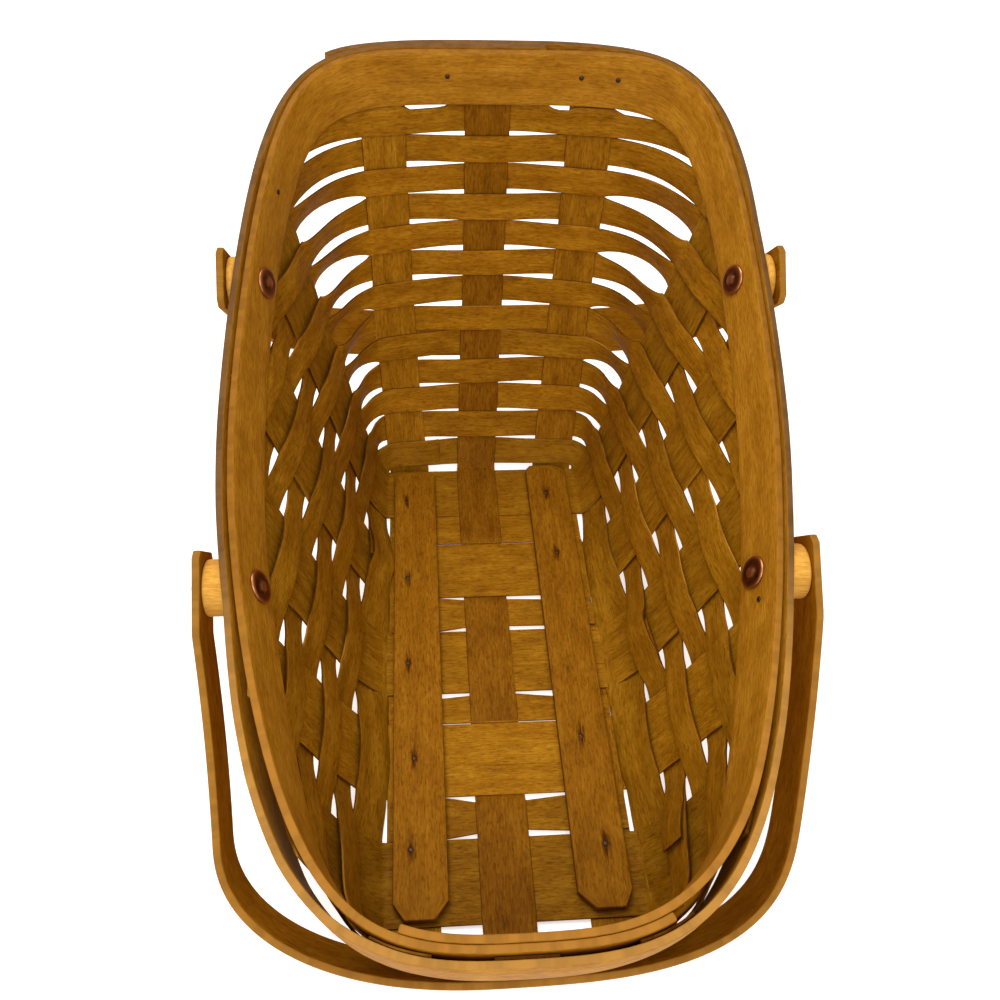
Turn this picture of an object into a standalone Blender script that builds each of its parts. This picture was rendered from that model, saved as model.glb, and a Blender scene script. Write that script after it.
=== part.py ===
"""Splint vegetable basket with a sloping rim and two swing handles.

Metres, +Z up.  Origin on the table under the middle of the whole basket, +X to
its right, +Y towards the high back.  The walls are one smooth surface that
runs from the floor outline up to the sloping rim; every splint lies on it.
"""
import math

import bmesh
import bpy
import numpy as np
from mathutils import Matrix, Vector

for old in list(bpy.data.objects):
    bpy.data.objects.remove(old, do_unlink=True)

MM = 0.001

# ---------------------------------------------------------------- dimensions
S = 22.0 * MM                   # width of a lengthwise splint, the unit of the weave
CLEAR = 0.3 * MM                # gap kept between neighbouring pieces

BASE_HALF_X = 2.55 * S          # floor outline
BASE_BACK_Y = 6.05 * S
BASE_FRONT_Y = -6.18 * S
BASE_SQUARENESS = 24.0

RIM_HALF_X = 5.09 * S           # rim outline at the top of the bands
RIM_WIDEST_Y = 1.05 * S
RIM_BACK_Y = 7.75 * S
RIM_FRONT_Y = -7.70 * S
RIM_SKEW = 0.034                # the rim sits slightly turned on the floor
RIM_SKEW_Y = -0.8 * S
RIM_TOP_MID = 6.22 * S          # height of the rim at y = 0
RIM_SLOPE = 0.4576
RIM_SAG = 0.0087 / S            # the rim dips a little between its ends
BAND_H = 1.155 * S

STAKE_T = 0.8 * MM
WEAVER_T = 0.7 * MM
WEAVE_OFF = 1.25 * MM           # weaver centre from stake centre
STAKE_W = 1.00 * S              # lengthwise splints
CROSS_W = 1.65 * S              # crosswise splints
CROSS_Y = (5.02 * S, 2.42 * S, -0.22 * S, -2.64 * S, -5.18 * S)
STAKE_X = (-1.895 * S, -0.15 * S, 1.85 * S)
STAKE_X_BACK = (-2.22 * S, 0.02 * S, 2.26 * S)
STAKE_X_FRONT = (-2.05 * S, -0.15 * S, 2.05 * S)
CROSS_RIM_Y = (5.00 * S, 2.30 * S, -0.42 * S, -3.05 * S, -5.45 * S)
FLOOR_Z = 1.5 * MM              # middle of the crosswise splints
FLOOR_STEP = 1.1 * MM           # over or under them

ROWS = 13
ROW_PITCH = 0.69 * S
ROW_W = 0.59 * S
ROW_Z0 = 0.465 * S              # middle of the lowest row
ROW_LOW = 3.6 * MM              # lower edge of the lowest row, which is wider
WALL_FOOT = 3.3 * MM            # where the upright splints meet the wall surface
SIDE_OUT = 4.1 * MM             # the walls stand out a little above the floor,
SIDE_IN = 3.9 * MM              # and curve in where they meet it
SIDE_FADE = 9.0 * MM
BACK_OUT = 0.7 * MM
BACK_IN = 4.6 * MM
BACK_FADE = 13.7 * MM
BACK_BELLY = 1.75

BAND_T = 3.0 * MM
BAND_OFF = 1.0 * MM             # face of a band from the middle of the wall
LAP = 4.4 * S                   # length of a band's lap

RUNNER_W = 1.03 * S
RUNNER_T = 3.2 * MM
RUNNER_Z = FLOOR_Z + FLOOR_STEP + STAKE_T / 2 + CLEAR
RUNNER_X = (-1.76 * S, 1.66 * S)
RUNNER_CLIP = 0.30 * S

PIVOT_FRONT = (-1.78 * S, 4.78 * S)     # y, z of each hinge
PIVOT_BACK = (3.65 * S, 7.40 * S)
HANDLE_HALF = 5.46 * S          # outer face of an arm at its hinge
HANDLE_TAPER = 0.133            # arms close in towards the bow
HANDLE_BEND = 4.28 * S          # where the bow starts
HANDLE_ROUND = (3.08, 2.23)      # the bow is squarer at the right than at the left
HANDLE_LEAN = -0.43 * S         # and its middle stands a little to the left
HANDLE_T = 3.8 * MM
HANDLE_W = 1.14 * S
HANDLE_TAIL = 0.64 * S
HANDLE_REACH = 6.80 * S         # hinge to the outer face of the bow
FRONT_DROP = 39.1               # degrees below level at rest
BACK_DROP = 45.0

SHANK_R = 2.0 * MM
BORE_R = 2.4 * MM
HEAD_R = 6.6 * MM
HEAD_T = 2.3 * MM
BURR_R = 5.0 * MM
BURR_T = 1.3 * MM
SPACER_R = 0.50 * S

ORIGIN_X = 1.52 * MM            # middle of the whole basket from the middle of its floor
ORIGIN_Y = 10.777 * MM

# ---------------------------------------------------------------- materials
STAIN = {
    "stained_maple": ((0.36, 0.18, 0.055, 1.0), 0.50, 0.0),
    "band_maple": ((0.42, 0.21, 0.065, 1.0), 0.42, 0.0),
    "runner_maple": ((0.38, 0.19, 0.055, 1.0), 0.45, 0.0),
    "light_wood": ((0.52, 0.29, 0.10, 1.0), 0.45, 0.0),
    "aged_copper": ((0.16, 0.06, 0.03, 1.0), 0.35, 1.0),
    "blued_steel": ((0.05, 0.045, 0.04, 1.0), 0.45, 1.0),
}


def material(name, owner):
    colour, rough, metal = STAIN[name]
    mat = bpy.data.materials.new(name + "_" + owner)
    mat.use_nodes = True
    bsdf = mat.node_tree.nodes["Principled BSDF"]
    bsdf.inputs["Base Color"].default_value = colour
    bsdf.inputs["Roughness"].default_value = rough
    bsdf.inputs["Metallic"].default_value = metal
    mat.diffuse_color = colour
    return mat


def add_object(name, verts, faces, stain, smooth=0.6, origin=None):
    mesh = bpy.data.meshes.new(name)
    mesh.from_pydata([tuple(v) for v in verts], [], faces)
    mesh.validate()
    bm = bmesh.new()
    bm.from_mesh(mesh)
    bmesh.ops.recalc_face_normals(bm, faces=bm.faces)
    bm.to_mesh(mesh)
    bm.free()
    if origin is not None:
        mesh.transform(Matrix.Translation(-Vector(origin)))
    ob = bpy.data.objects.new(name, mesh)
    bpy.context.scene.collection.objects.link(ob)
    if origin is not None:
        ob.location = origin
    mesh.materials.append(material(stain, name))
    mesh.shade_smooth()
    mesh.set_sharp_from_angle(angle=smooth)
    return ob


# ---------------------------------------------------------------- wall surface
def signed_pow(v, p):
    return math.copysign(abs(v) ** p, v)


def base_point(a):
    e = 2.0 / BASE_SQUARENESS
    half_y = BASE_BACK_Y if math.cos(a) > 0 else -BASE_FRONT_Y
    return Vector((BASE_HALF_X * signed_pow(math.sin(a), e),
                   half_y * signed_pow(math.cos(a), e), 0.0))


def rim_centre(y):
    return RIM_SKEW * (y - RIM_SKEW_Y) * (1.0 if y > RIM_SKEW_Y else 0.4)


def rim_height(y):
    return RIM_TOP_MID + RIM_SLOPE * y + RIM_SAG * y * y


def rim_point(a):
    """Rim outline; the back corners are squarer than the front ones."""
    s, c = math.sin(a), math.cos(a)
    if c >= 0:
        n, half = 2.3 + 2.5 * abs(c), RIM_BACK_Y - RIM_WIDEST_Y
    else:
        n, half = 2.02 + 0.93 * c * c, RIM_WIDEST_Y - RIM_FRONT_Y
    x = RIM_HALF_X * signed_pow(s, 2.0 / n)
    y = RIM_WIDEST_Y + half * signed_pow(c, 2.0 / n)
    return Vector((x + rim_centre(y), y, rim_height(y)))


def outline(point, count=4000):
    """Closed outline sampled clockwise from the middle of the back, with its lengths."""
    pts = [point(2 * math.pi * i / count) for i in range(count)]
    pts.append(pts[0].copy())
    length = [0.0]
    for p, q in zip(pts, pts[1:]):
        length.append(length[-1] + (q - p).length)
    even = np.linspace(0.0, length[-1], 2 * count + 1)
    xyz = np.array([list(p) for p in pts])
    return np.stack([np.interp(even, length, xyz[:, k]) for k in range(3)], axis=1), even


BASE_PTS, BASE_LEN = outline(base_point)
RIM_PTS, RIM_LEN = outline(rim_point)


def at_length(pts, length, u):
    total = length[-1]
    turns = math.floor(u / total)
    u -= turns * total
    return np.array([np.interp(u, length, pts[:, k]) for k in range(3)])


def nearest_length(pts, length, side, value):
    """Arc length where the outline crosses a given x (back, front) or y (right, left)."""
    if side in ("back", "front"):
        mask = pts[:, 1] > 0 if side == "back" else pts[:, 1] < 0
        err = np.abs(pts[:, 0] - value)
    else:
        mask = pts[:, 0] > 0 if side == "right" else pts[:, 0] < 0
        err = np.abs(pts[:, 1] - value)
    err = np.where(mask, err, 1e9)
    return float(length[int(np.argmin(err))])


def perimeter_stakes():
    """The sixteen upright splints in order round the wall: side, index, width."""
    order = [("back", 1), ("back", 2)]
    order += [("right", k) for k in range(5)]
    order += [("front", 2), ("front", 1), ("front", 0)]
    order += [("left", k) for k in range(4, -1, -1)]
    order += [("back", 0)]
    out = []
    for side, k in order:
        if side == "back":
            b, r, w = STAKE_X[k], STAKE_X_BACK[k], STAKE_W
        elif side == "front":
            b, r, w = STAKE_X[k], STAKE_X_FRONT[k], STAKE_W
        else:
            b, r, w = CROSS_Y[k], CROSS_RIM_Y[k], CROSS_W
        out.append(dict(side=side, k=k, w=w,
                        ub=nearest_length(BASE_PTS, BASE_LEN, side, b),
                        ur=nearest_length(RIM_PTS, RIM_LEN, side, r)))
    return out


def along_rim(stake):
    """Width of an upright splint measured along the sloping rim."""
    if stake["side"] in ("back", "front"):
        return stake["w"]
    y = at_length(RIM_PTS, RIM_LEN, stake["ur"])[1]
    return stake["w"] * math.hypot(1.0, RIM_SLOPE + 2 * RIM_SAG * y)


STAKES = perimeter_stakes()


def unwrap(seq, total):
    out = [seq[0] if seq[0] < total / 2 else seq[0] - total]
    for v in seq[1:]:
        while v < out[-1] - 1e-9:
            v += total
        out.append(v)
    return out


MIDDLE_B = unwrap([s["ub"] for s in STAKES], BASE_LEN[-1])
MIDDLE_R = unwrap([s["ur"] for s in STAKES], RIM_LEN[-1])
ANCHOR_B, ANCHOR_R = [], []             # both edges of each upright splint
for stake, ub, ur in zip(STAKES, MIDDLE_B, MIDDLE_R):
    stake["u"] = ub
    ANCHOR_B += [ub - stake["w"] / 2, ub + stake["w"] / 2]
    ANCHOR_R += [ur - along_rim(stake) / 2, ur + along_rim(stake) / 2]


def monotone_map(xs, ys, xt, yt):
    """Smooth rising map through the anchors, periodic in both lengths."""
    n = len(xs)
    ex = [xs[-1] - xt] + list(xs) + [xs[0] + xt]
    ey = [ys[-1] - yt] + list(ys) + [ys[0] + yt]
    slope = [(ey[i + 1] - ey[i]) / (ex[i + 1] - ex[i]) for i in range(n + 1)]
    tang = []
    for i in range(n):
        a, b = slope[i], slope[i + 1]
        tang.append(2 * a * b / (a + b))
    return np.array(ex), np.array(ey), np.array([tang[-1]] + tang + [tang[0]])


MAP_X, MAP_Y, MAP_M = monotone_map(ANCHOR_B, ANCHOR_R, BASE_LEN[-1], RIM_LEN[-1])


def rim_length(u):
    """Rim arc length that belongs to floor-outline arc length u."""
    total = BASE_LEN[-1]
    turns = math.floor((u - MAP_X[1]) / total)
    v = u - turns * total
    i = int(np.clip(np.searchsorted(MAP_X, v) - 1, 0, len(MAP_X) - 2))
    h = MAP_X[i + 1] - MAP_X[i]
    t = (v - MAP_X[i]) / h
    h00, h10 = 2 * t ** 3 - 3 * t ** 2 + 1, t ** 3 - 2 * t ** 2 + t
    h01, h11 = -2 * t ** 3 + 3 * t ** 2, t ** 3 - t ** 2
    y = (h00 * MAP_Y[i] + h10 * h * MAP_M[i] + h01 * MAP_Y[i + 1] + h11 * h * MAP_M[i + 1])
    return y + turns * RIM_LEN[-1]


U_TABLE = np.linspace(MAP_X[1], MAP_X[1] + BASE_LEN[-1], 4001)
V_TABLE = np.array([rim_length(u) for u in U_TABLE])


def base_length(v):
    """Floor-outline arc length that belongs to rim arc length v."""
    turns = math.floor((v - V_TABLE[0]) / RIM_LEN[-1])
    return float(np.interp(v - turns * RIM_LEN[-1], V_TABLE, U_TABLE)) + turns * BASE_LEN[-1]


def meridian(u):
    """Foot and head of the wall line at floor-outline length u, and how it bellies."""
    foot = at_length(BASE_PTS, BASE_LEN, u)
    head = at_length(RIM_PTS, RIM_LEN, rim_length(u))
    end = RIM_BACK_Y if head[1] > RIM_WIDEST_Y else RIM_FRONT_Y
    lean = (head[1] - RIM_WIDEST_Y) / (end - RIM_WIDEST_Y)
    flat = 1.0 - min(1.0, abs(head[0]) / RIM_HALF_X) ** 2
    most = BACK_BELLY if head[1] > RIM_WIDEST_Y else 0.88
    belly = 0.06 + (most - 0.06) * flat * lean ** 6
    return foot, head, belly


def wall(u, z):
    foot, head, belly = meridian(u)
    q = z / head[2]
    g = q + belly * q * (1.0 - q)
    p = foot + (head - foot) * g
    side = signed_pow(foot[0] / BASE_HALF_X, BASE_SQUARENESS)
    x = SIDE_OUT * (1.0 - q) - (SIDE_OUT + SIDE_IN) * math.exp(-z / SIDE_FADE)
    end = (max(0.0, foot[1]) / BASE_BACK_Y) ** BASE_SQUARENESS
    y = BACK_OUT * (1.0 - q) - (BACK_OUT + BACK_IN) * math.exp(-z / BACK_FADE)
    return np.array([p[0] + side * x, p[1] + end * y, z])


def wall_frame(u, z):
    """Point on the wall, its outward normal and its uphill direction."""
    e = 0.4 * MM
    p = wall(u, z)
    du = wall(u + e, z) - wall(u - e, z)
    dz = wall(u, z + e) - wall(u, z - e)
    n = np.cross(dz, du)
    n = n / np.linalg.norm(n)
    if n[0] * p[0] + n[1] * p[1] < 0:
        n = -n
    return p, n, dz / np.linalg.norm(dz)


def off(u, z, d):
    p, n, _ = wall_frame(u, z)
    return p + n * d


def band_top(u):
    return meridian(u)[1][2]


def band_low(u):
    return band_top(u) - BAND_H


# ---------------------------------------------------------------- solids from strips
def strip_solid(name, rings, stain, closed=False, smooth=0.6):
    """A strip from a run of matching cross-sections."""
    verts, faces = [], []
    for ring in rings:
        verts.extend(ring)
    n = len(rings)
    m = len(rings[0])
    last = n if closed else n - 1
    for i in range(last):
        a, b = i * m, ((i + 1) % n) * m
        for k in range(m):
            kk = (k + 1) % m
            faces.append((a + k, a + kk, b + kk, b + k))
    if not closed:
        faces.append(tuple(range(m)))
        faces.append(tuple((n - 1) * m + k for k in reversed(range(m))))
    return add_object(name, verts, faces, stain, smooth)


def row_side(row, stake):
    """+1 where the weaver of this row passes outside the stake, -1 where inside."""
    if stake["side"] in ("back", "front"):
        group = 1 if stake["k"] == 1 else -1
    else:
        group = 1 if stake["k"] % 2 == 0 else -1
    return group if row % 2 == 1 else -group


def smoothstep(t):
    t = min(1.0, max(0.0, t))
    return t * t * (3 - 2 * t)


def weave_stations(row):
    """Arc lengths round one row with the side the weaver is on at each."""
    total = BASE_LEN[-1]
    z = row_z(row)
    out = []
    n = len(STAKES)
    for i, s in enumerate(STAKES):
        t = STAKES[(i + 1) % n]
        u1 = t["u"] + (total if i == n - 1 else 0.0)
        half = stake_half(s, z) + 0.8 * MM
        half1 = stake_half(t, z) + 0.8 * MM
        a, b = row_side(row, s), row_side(row, t)
        out += [(s["u"] + f * half, a) for f in columns(8 if row == ROWS else (6 if s["w"] == STAKE_W else 4))]
        for u, f in spread(s["u"] + half, u1 - half1, z, 9.0 * MM):
            out.append((u, a + (b - a) * smoothstep(f)))
    return sorted(out)


def stake_half(stake, z):
    """Half an upright splint's width at this height, in floor-outline length."""
    u, half = stake["u"], stake["w"] / 2
    for _ in range(3):
        half *= stake["w"] / np.linalg.norm(wall(u + half, z) - wall(u - half, z))
    return half


def spread(lo, hi, z, step):
    """Arc lengths between lo and hi, evenly spaced on the wall, with their fractions."""
    us = np.linspace(lo, hi, 25)
    pts = [wall(u, z) for u in us]
    run = [0.0]
    for p, q in zip(pts, pts[1:]):
        run.append(run[-1] + np.linalg.norm(q - p))
    count = max(2, int(round(run[-1] / step)))
    return [(float(np.interp(run[-1] * i / (count + 1), run, us)), i / (count + 1))
            for i in range(1, count + 1)]


def row_z(row):
    return ROW_Z0 + (ROWS - row) * ROW_PITCH


def weaver(row):
    z = row_z(row)
    lo, hi = z - ROW_W / 2, z + ROW_W / 2
    if row == ROWS:
        lo = ROW_LOW
    total = BASE_LEN[-1]
    stations = weave_stations(row)

    def top_at(u):
        return min(hi, band_low(u) - CLEAR)

    full = min(band_low(u) for u, _ in stations) > hi + CLEAR
    sections = []
    for u, side in stations:
        sections.append((u, side))
    if not full:
        # walk from one cut end, round the back, to the other cut end
        sections = sorted(((u if u < total / 2 else u - total), s) for u, s in sections)
        least = 3.0 * MM
        ok = [q for q in sections if band_low(q[0]) - CLEAR - lo > least]

        def end(inner, outer):
            a, b = inner, outer
            for _ in range(30):
                m = (a + b) / 2
                if band_low(m) - CLEAR - lo > least:
                    a = m
                else:
                    b = m
            return a

        first, final = ok[0], ok[-1]
        before = [q for q in sections if q[0] < first[0]]
        after = [q for q in sections if q[0] > final[0]]
        if before:
            q = before[-1]
            u = end(first[0], q[0])
            f = (u - q[0]) / (first[0] - q[0])
            if first[0] - u > 0.5 * MM:
                ok.insert(0, (u, q[1] + (first[1] - q[1]) * f))
        if after:
            q = after[0]
            u = end(final[0], q[0])
            f = (u - final[0]) / (q[0] - final[0])
            if u - final[0] > 0.5 * MM:
                ok.append((u, final[1] + (q[1] - final[1]) * f))
        sections = ok
    rings = []
    for u, side in sections:
        d = side * WEAVE_OFF
        t = WEAVER_T / 2
        top = top_at(u)
        zs = (lo, lo + (top - lo) * 0.45, top) if row > ROWS - 3 else (lo, top)
        rings.append([off(u, z, d - t) for z in zs] + [off(u, z, d + t) for z in reversed(zs)])
    return strip_solid("weaver_row_%02d" % row, rings, "stained_maple", closed=full)


def floor_level(side):
    return FLOOR_Z + side * FLOOR_STEP


def cross_edges(k):
    c = CROSS_Y[k]
    return c - CROSS_W / 2, c + CROSS_W / 2


FILL_FAR = 2.3 * MM             # where the lengthwise splints change side
FILL_GAPS = ((0.5 * MM, FILL_FAR), (FILL_FAR, 2.0 * MM),
             (1.9 * MM, FILL_FAR), (FILL_FAR, 1.7 * MM))    # behind and in front of each


def filler_edges(k):
    """Filler k lies between crosswise splints k and k + 1."""
    behind, before = FILL_GAPS[k]
    return cross_edges(k + 1)[1] + before, cross_edges(k)[0] - behind


def columns(count):
    return [2.0 * i / count - 1.0 for i in range(count + 1)]


def sheet_ring(cols, point):
    """Cross-section of a splint: point(f, s) with f across and s through it, s = +1 outside."""
    return [point(f, -1) for f in cols] + [point(f, +1) for f in reversed(cols)]


def wall_run(stake, flip, top, steps, cols):
    """Cross-sections of a splint up the wall, as wide as it is on the floor."""
    rings = []
    t = STAKE_T / 2
    low = [WALL_FOOT + q * MM for q in (0.0, 3.5, 8.0, 14.0, 22.0)]
    for z in low + [low[-1] + (top - low[-1]) * i / steps for i in range(1, steps + 1)]:
        half = stake_half(stake, z)
        rings.append(sheet_ring(cols, lambda f, s: off(stake["u"] + flip * f * half, z, s * t)))
    return rings


def find_stake(side, k):
    return [q for q in STAKES if q["side"] == side and q["k"] == k][0]


def stake_top(stake):
    return min(band_top(stake["u"] + q * stake["w"] / 2) for q in (-1, 0, 1)) - 1.2 * MM


def lengthwise(i):
    """Splint along the floor and up the back and front walls."""
    x = STAKE_X[i]
    back, front = find_stake("back", i), find_stake("front", i)
    t = STAKE_T / 2
    w = STAKE_W / 2
    side = 1 if i == 1 else -1
    cols = columns(2 if i == 1 else 6)
    run = 0.62 * MM
    if side > 0:
        path = [(cross_edges(0)[1] - 0.6 * MM, floor_level(side), 0.05)]
    else:
        path = [(cross_edges(0)[1] + 0.55 * MM, floor_level(side), 0.45)]
    for k in (1, 3):
        lo, hi = cross_edges(k)
        for y in (hi + FILL_FAR / 2, lo - FILL_FAR / 2):
            tip = 0.45 * side
            path.append((y + run + 1.6 * MM, floor_level(side), 0.0))
            path.append((y + run, floor_level(side), -tip))
            side = -side
            path.append((y - run, floor_level(side), -tip))
            path.append((y - run - 1.6 * MM, floor_level(side), 0.0))
    if side > 0:
        path.append((cross_edges(4)[0] + 0.6 * MM, floor_level(side), -0.05))
    else:
        path.append((cross_edges(4)[0] - 0.55 * MM, floor_level(side), -0.45))
    rings = list(reversed(wall_run(back, +1, stake_top(back), 9, cols)))
    for y, z, tilt in path:
        n = Vector((-tilt, 1.0)).normalized() * t * math.hypot(1.0, tilt * 0.5)
        rings.append(sheet_ring(cols, lambda f, s: (x + f * w, y - s * n.x, z - s * n.y)))
    rings += wall_run(front, -1, stake_top(front), 5, cols)
    name = ("left", "centre", "right")[i]
    return strip_solid("stake_lengthwise_" + name, rings, "stained_maple")


def crosswise(k):
    """Splint across the floor and up both side walls."""
    y = CROSS_Y[k]
    right, left = find_stake("right", k), find_stake("left", k)
    t = STAKE_T / 2
    w = CROSS_W / 2
    cols = columns(6 if k in (0, 4) else 2)
    rings = list(reversed(wall_run(right, +1, stake_top(right), 8, cols)))
    flat_x = BASE_HALF_X - 3.3 * MM
    for px, pz, tilt in ((flat_x, FLOOR_Z, 0.25), (-flat_x, FLOOR_Z, -0.25)):
        n = Vector((-tilt, 1.0)).normalized() * t
        rings.append(sheet_ring(cols, lambda f, s: (px - s * n.x, y - f * w, pz - s * n.y)))
    rings += wall_run(left, -1, stake_top(left), 8, cols)
    return strip_solid("stake_crosswise_%d" % (k + 1), rings, "stained_maple")


def slab(name, x0, x1, y0, y1, z0, z1, stain, clip=0.0):
    """Flat bar, its four corners clipped if asked."""
    if clip:
        loop = [(x0 + clip, y0), (x1 - clip, y0), (x1, y0 + clip), (x1, y1 - clip),
                (x1 - clip, y1), (x0 + clip, y1), (x0, y1 - clip), (x0, y0 + clip)]
    else:
        loop = [(x0, y0), (x1, y0), (x1, y1), (x0, y1)]
    bm = bmesh.new()
    face = bm.faces.new([bm.verts.new((x, y, z0)) for x, y in loop])
    top = bmesh.ops.extrude_face_region(bm, geom=[face])
    bmesh.ops.translate(bm, vec=(0, 0, z1 - z0),
                        verts=[v for v in top["geom"] if isinstance(v, bmesh.types.BMVert)])
    bmesh.ops.recalc_face_normals(bm, faces=bm.faces)
    mesh = bpy.data.meshes.new(name)
    bm.to_mesh(mesh)
    bm.free()
    ob = bpy.data.objects.new(name, mesh)
    bpy.context.scene.collection.objects.link(ob)
    mesh.materials.append(material(stain, name))
    return ob


def cutter(name, radius, depth, centre, axis, sides=12):
    bm = bmesh.new()
    bmesh.ops.create_cone(bm, cap_ends=True, segments=sides, radius1=radius, radius2=radius,
                          depth=depth)
    mesh = bpy.data.meshes.new(name)
    bm.to_mesh(mesh)
    bm.free()
    ob = bpy.data.objects.new(name, mesh)
    bpy.context.scene.collection.objects.link(ob)
    ob.rotation_mode = "QUATERNION"
    ob.rotation_quaternion = Vector((0, 0, 1)).rotation_difference(Vector(axis))
    ob.location = centre
    ob.hide_render = True
    ob.display_type = "WIRE"
    return ob


def cut(ob, tool):
    mod = ob.modifiers.new("cut_" + tool.name, "BOOLEAN")
    mod.operation = "DIFFERENCE"
    mod.solver = "EXACT"
    mod.object = tool


def turned(name, profile, sides, stain, centre, direction, lean=None, origin=None):
    """Piece turned about X from (along, radius) pairs; lean slopes marked rings."""
    verts, rings = [], []
    for j, (a, r, tilt) in enumerate(profile):
        ring = []
        if r < 1e-6:
            verts.append((centre[0] + direction * a, centre[1], centre[2]))
            ring = [len(verts) - 1]
        else:
            for k in range(sides):
                w = 2 * math.pi * (k + 0.5) / sides
                dy, dz = r * math.cos(w), r * math.sin(w)
                shift = tilt * (lean[0] * dy + lean[1] * dz) if lean else 0.0
                verts.append((centre[0] + direction * a + shift, centre[1] + dy, centre[2] + dz))
                ring.append(len(verts) - 1)
        rings.append(ring)
    faces = []
    for p, q in zip(rings, rings[1:]):
        if len(p) == 1 and len(q) == 1:
            continue
        for k in range(sides):
            kk = (k + 1) % sides
            if len(p) == 1:
                faces.append((p[0], q[k], q[kk]))
            elif len(q) == 1:
                faces.append((p[k], p[kk], q[0]))
            else:
                faces.append((p[k], p[kk], q[kk], q[k]))
    if len(rings[0]) > 1 and len(rings[-1]) > 1:
        p, q = rings[-1], rings[0]          # a tube: join the last ring to the first
        for k in range(sides):
            kk = (k + 1) % sides
            faces.append((p[k], p[kk], q[kk], q[k]))
    return add_object(name, verts, faces, stain, 0.7, origin)


# ---------------------------------------------------------------- rim bands
def band(name, sign, u_start, travel, stain):
    """Wide strip bent round the rim; its end laps over its beginning."""
    length = RIM_LEN[-1]
    steps = 108
    v_start = rim_length(u_start)
    rings = []
    ramp = 16.0 * MM
    stops = [(length * i / steps, 0.0) for i in range(steps) if length * i / steps < length - ramp]
    stops.append((length - ramp, 0.0))
    stops.append((length - 1.5 * MM, 1.0))
    n_lap = 8
    for i in range(1, n_lap + 1):
        stops.append((length + LAP * i / n_lap, 1.0))
    for dv, layer in stops:
        u = base_length(v_start + travel * dv)
        hi, lo = band_top(u), band_low(u)
        near = BAND_OFF + layer * (BAND_T + CLEAR)
        far = near + BAND_T
        mid = (lo + hi) / 2
        rings.append([off(u, z, sign * near) for z in (lo, mid, hi)]
                     + [off(u, z, sign * far) for z in (hi, mid, lo)])
    return strip_solid(name, rings, stain)


u_front_right = nearest_length(BASE_PTS, BASE_LEN, "front", 2.1 * S)
u_back_right = nearest_length(BASE_PTS, BASE_LEN, "back", 0.90 * S)
inner = band("inner_rim_band", -1, u_front_right, +1, "band_maple")
outer = band("outer_rim_band", +1, u_back_right, -1, "band_maple")

# ---------------------------------------------------------------- weave
for i in range(3):
    lengthwise(i)
for k in range(5):
    crosswise(k)
for k in range(4):
    y0, y1 = filler_edges(k)
    slab("floor_filler_%d" % (k + 1), -2.36 * S, 2.36 * S, y0, y1,
         FLOOR_Z - STAKE_T / 2, FLOOR_Z + STAKE_T / 2, "stained_maple")
for row in range(1, ROWS + 1):
    weaver(row)

# ---------------------------------------------------------------- runners and tacks
RUNNER_ENDS = ((-5.95 * S, 5.60 * S), (-5.90 * S, 5.78 * S))
RUNNER_TACKS = (((-0.17, -4.62), (-0.09, -2.69), (-0.20, -0.36), (-0.19, 2.05), (-0.21, 4.54)),
                ((0.13, -4.68), (-0.05, -2.34), (0.00, 2.73), (-0.06, 4.78)))  # off the middle, along


def tack(name, centre, normal, length):
    """Small nail: a low round head and a short shank."""
    sides, head_r, shank_r = 8, 1.25 * MM, 0.55 * MM
    rot = Vector((0, 0, 1)).rotation_difference(Vector(normal)).to_matrix()
    profile = ((-length, 0.0), (-length, shank_r), (0.0, shank_r), (0.0, head_r),
               (0.30 * MM, head_r), (0.62 * MM, 0.55 * head_r), (0.70 * MM, 0.0))
    verts, rings = [], []
    for a, r in profile:
        if r < 1e-9:
            verts.append(Vector((0, 0, a)))
            rings.append([len(verts) - 1])
        else:
            ring = []
            for k in range(sides):
                w = 2 * math.pi * k / sides
                verts.append(Vector((r * math.cos(w), r * math.sin(w), a)))
                ring.append(len(verts) - 1)
            rings.append(ring)
    faces = []
    for p, q in zip(rings, rings[1:]):
        for k in range(sides):
            kk = (k + 1) % sides
            if len(p) == 1:
                faces.append((p[0], q[kk], q[k]))
            elif len(q) == 1:
                faces.append((p[k], p[kk], q[0]))
            else:
                faces.append((p[k], p[kk], q[kk], q[k]))
    verts = [rot @ v + Vector(centre) for v in verts]
    return add_object(name, verts, faces, "blued_steel", 0.7)


for side, xc, (y0, y1), tacks in zip(("left", "right"), RUNNER_X, RUNNER_ENDS, RUNNER_TACKS):
    bar = slab("floor_runner_" + side, xc - RUNNER_W / 2, xc + RUNNER_W / 2, y0, y1,
               RUNNER_Z, RUNNER_Z + RUNNER_T, "runner_maple", RUNNER_CLIP)
    for j, (aside, along) in enumerate(tacks):
        x, y = xc + aside * S, along * S
        drill = cutter("drill_%s_%d" % (side, j), 0.9 * MM, 12 * MM, (x, y, RUNNER_Z), (0, 0, 1), 8)
        cut(bar, drill)
        tack("runner_tack_%s_%d" % (side, j + 1), (x, y, RUNNER_Z + RUNNER_T + CLEAR),
             (0, 0, 1), RUNNER_T + 0.1 * MM)

# ---------------------------------------------------------------- rivets, spacers, handles
def side_u(side, y, z):
    """Arc length on a side wall where the wall at height z has this y."""
    lo = nearest_length(BASE_PTS, BASE_LEN, side, y)
    best, err = lo, 1e9
    for i in range(-200, 201):
        u = lo + i * 0.25 * MM
        p = wall(u, z)
        if (p[0] > 0) == (side == "right") and abs(p[1] - y) < err:
            best, err = u, abs(p[1] - y)
    return best


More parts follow.
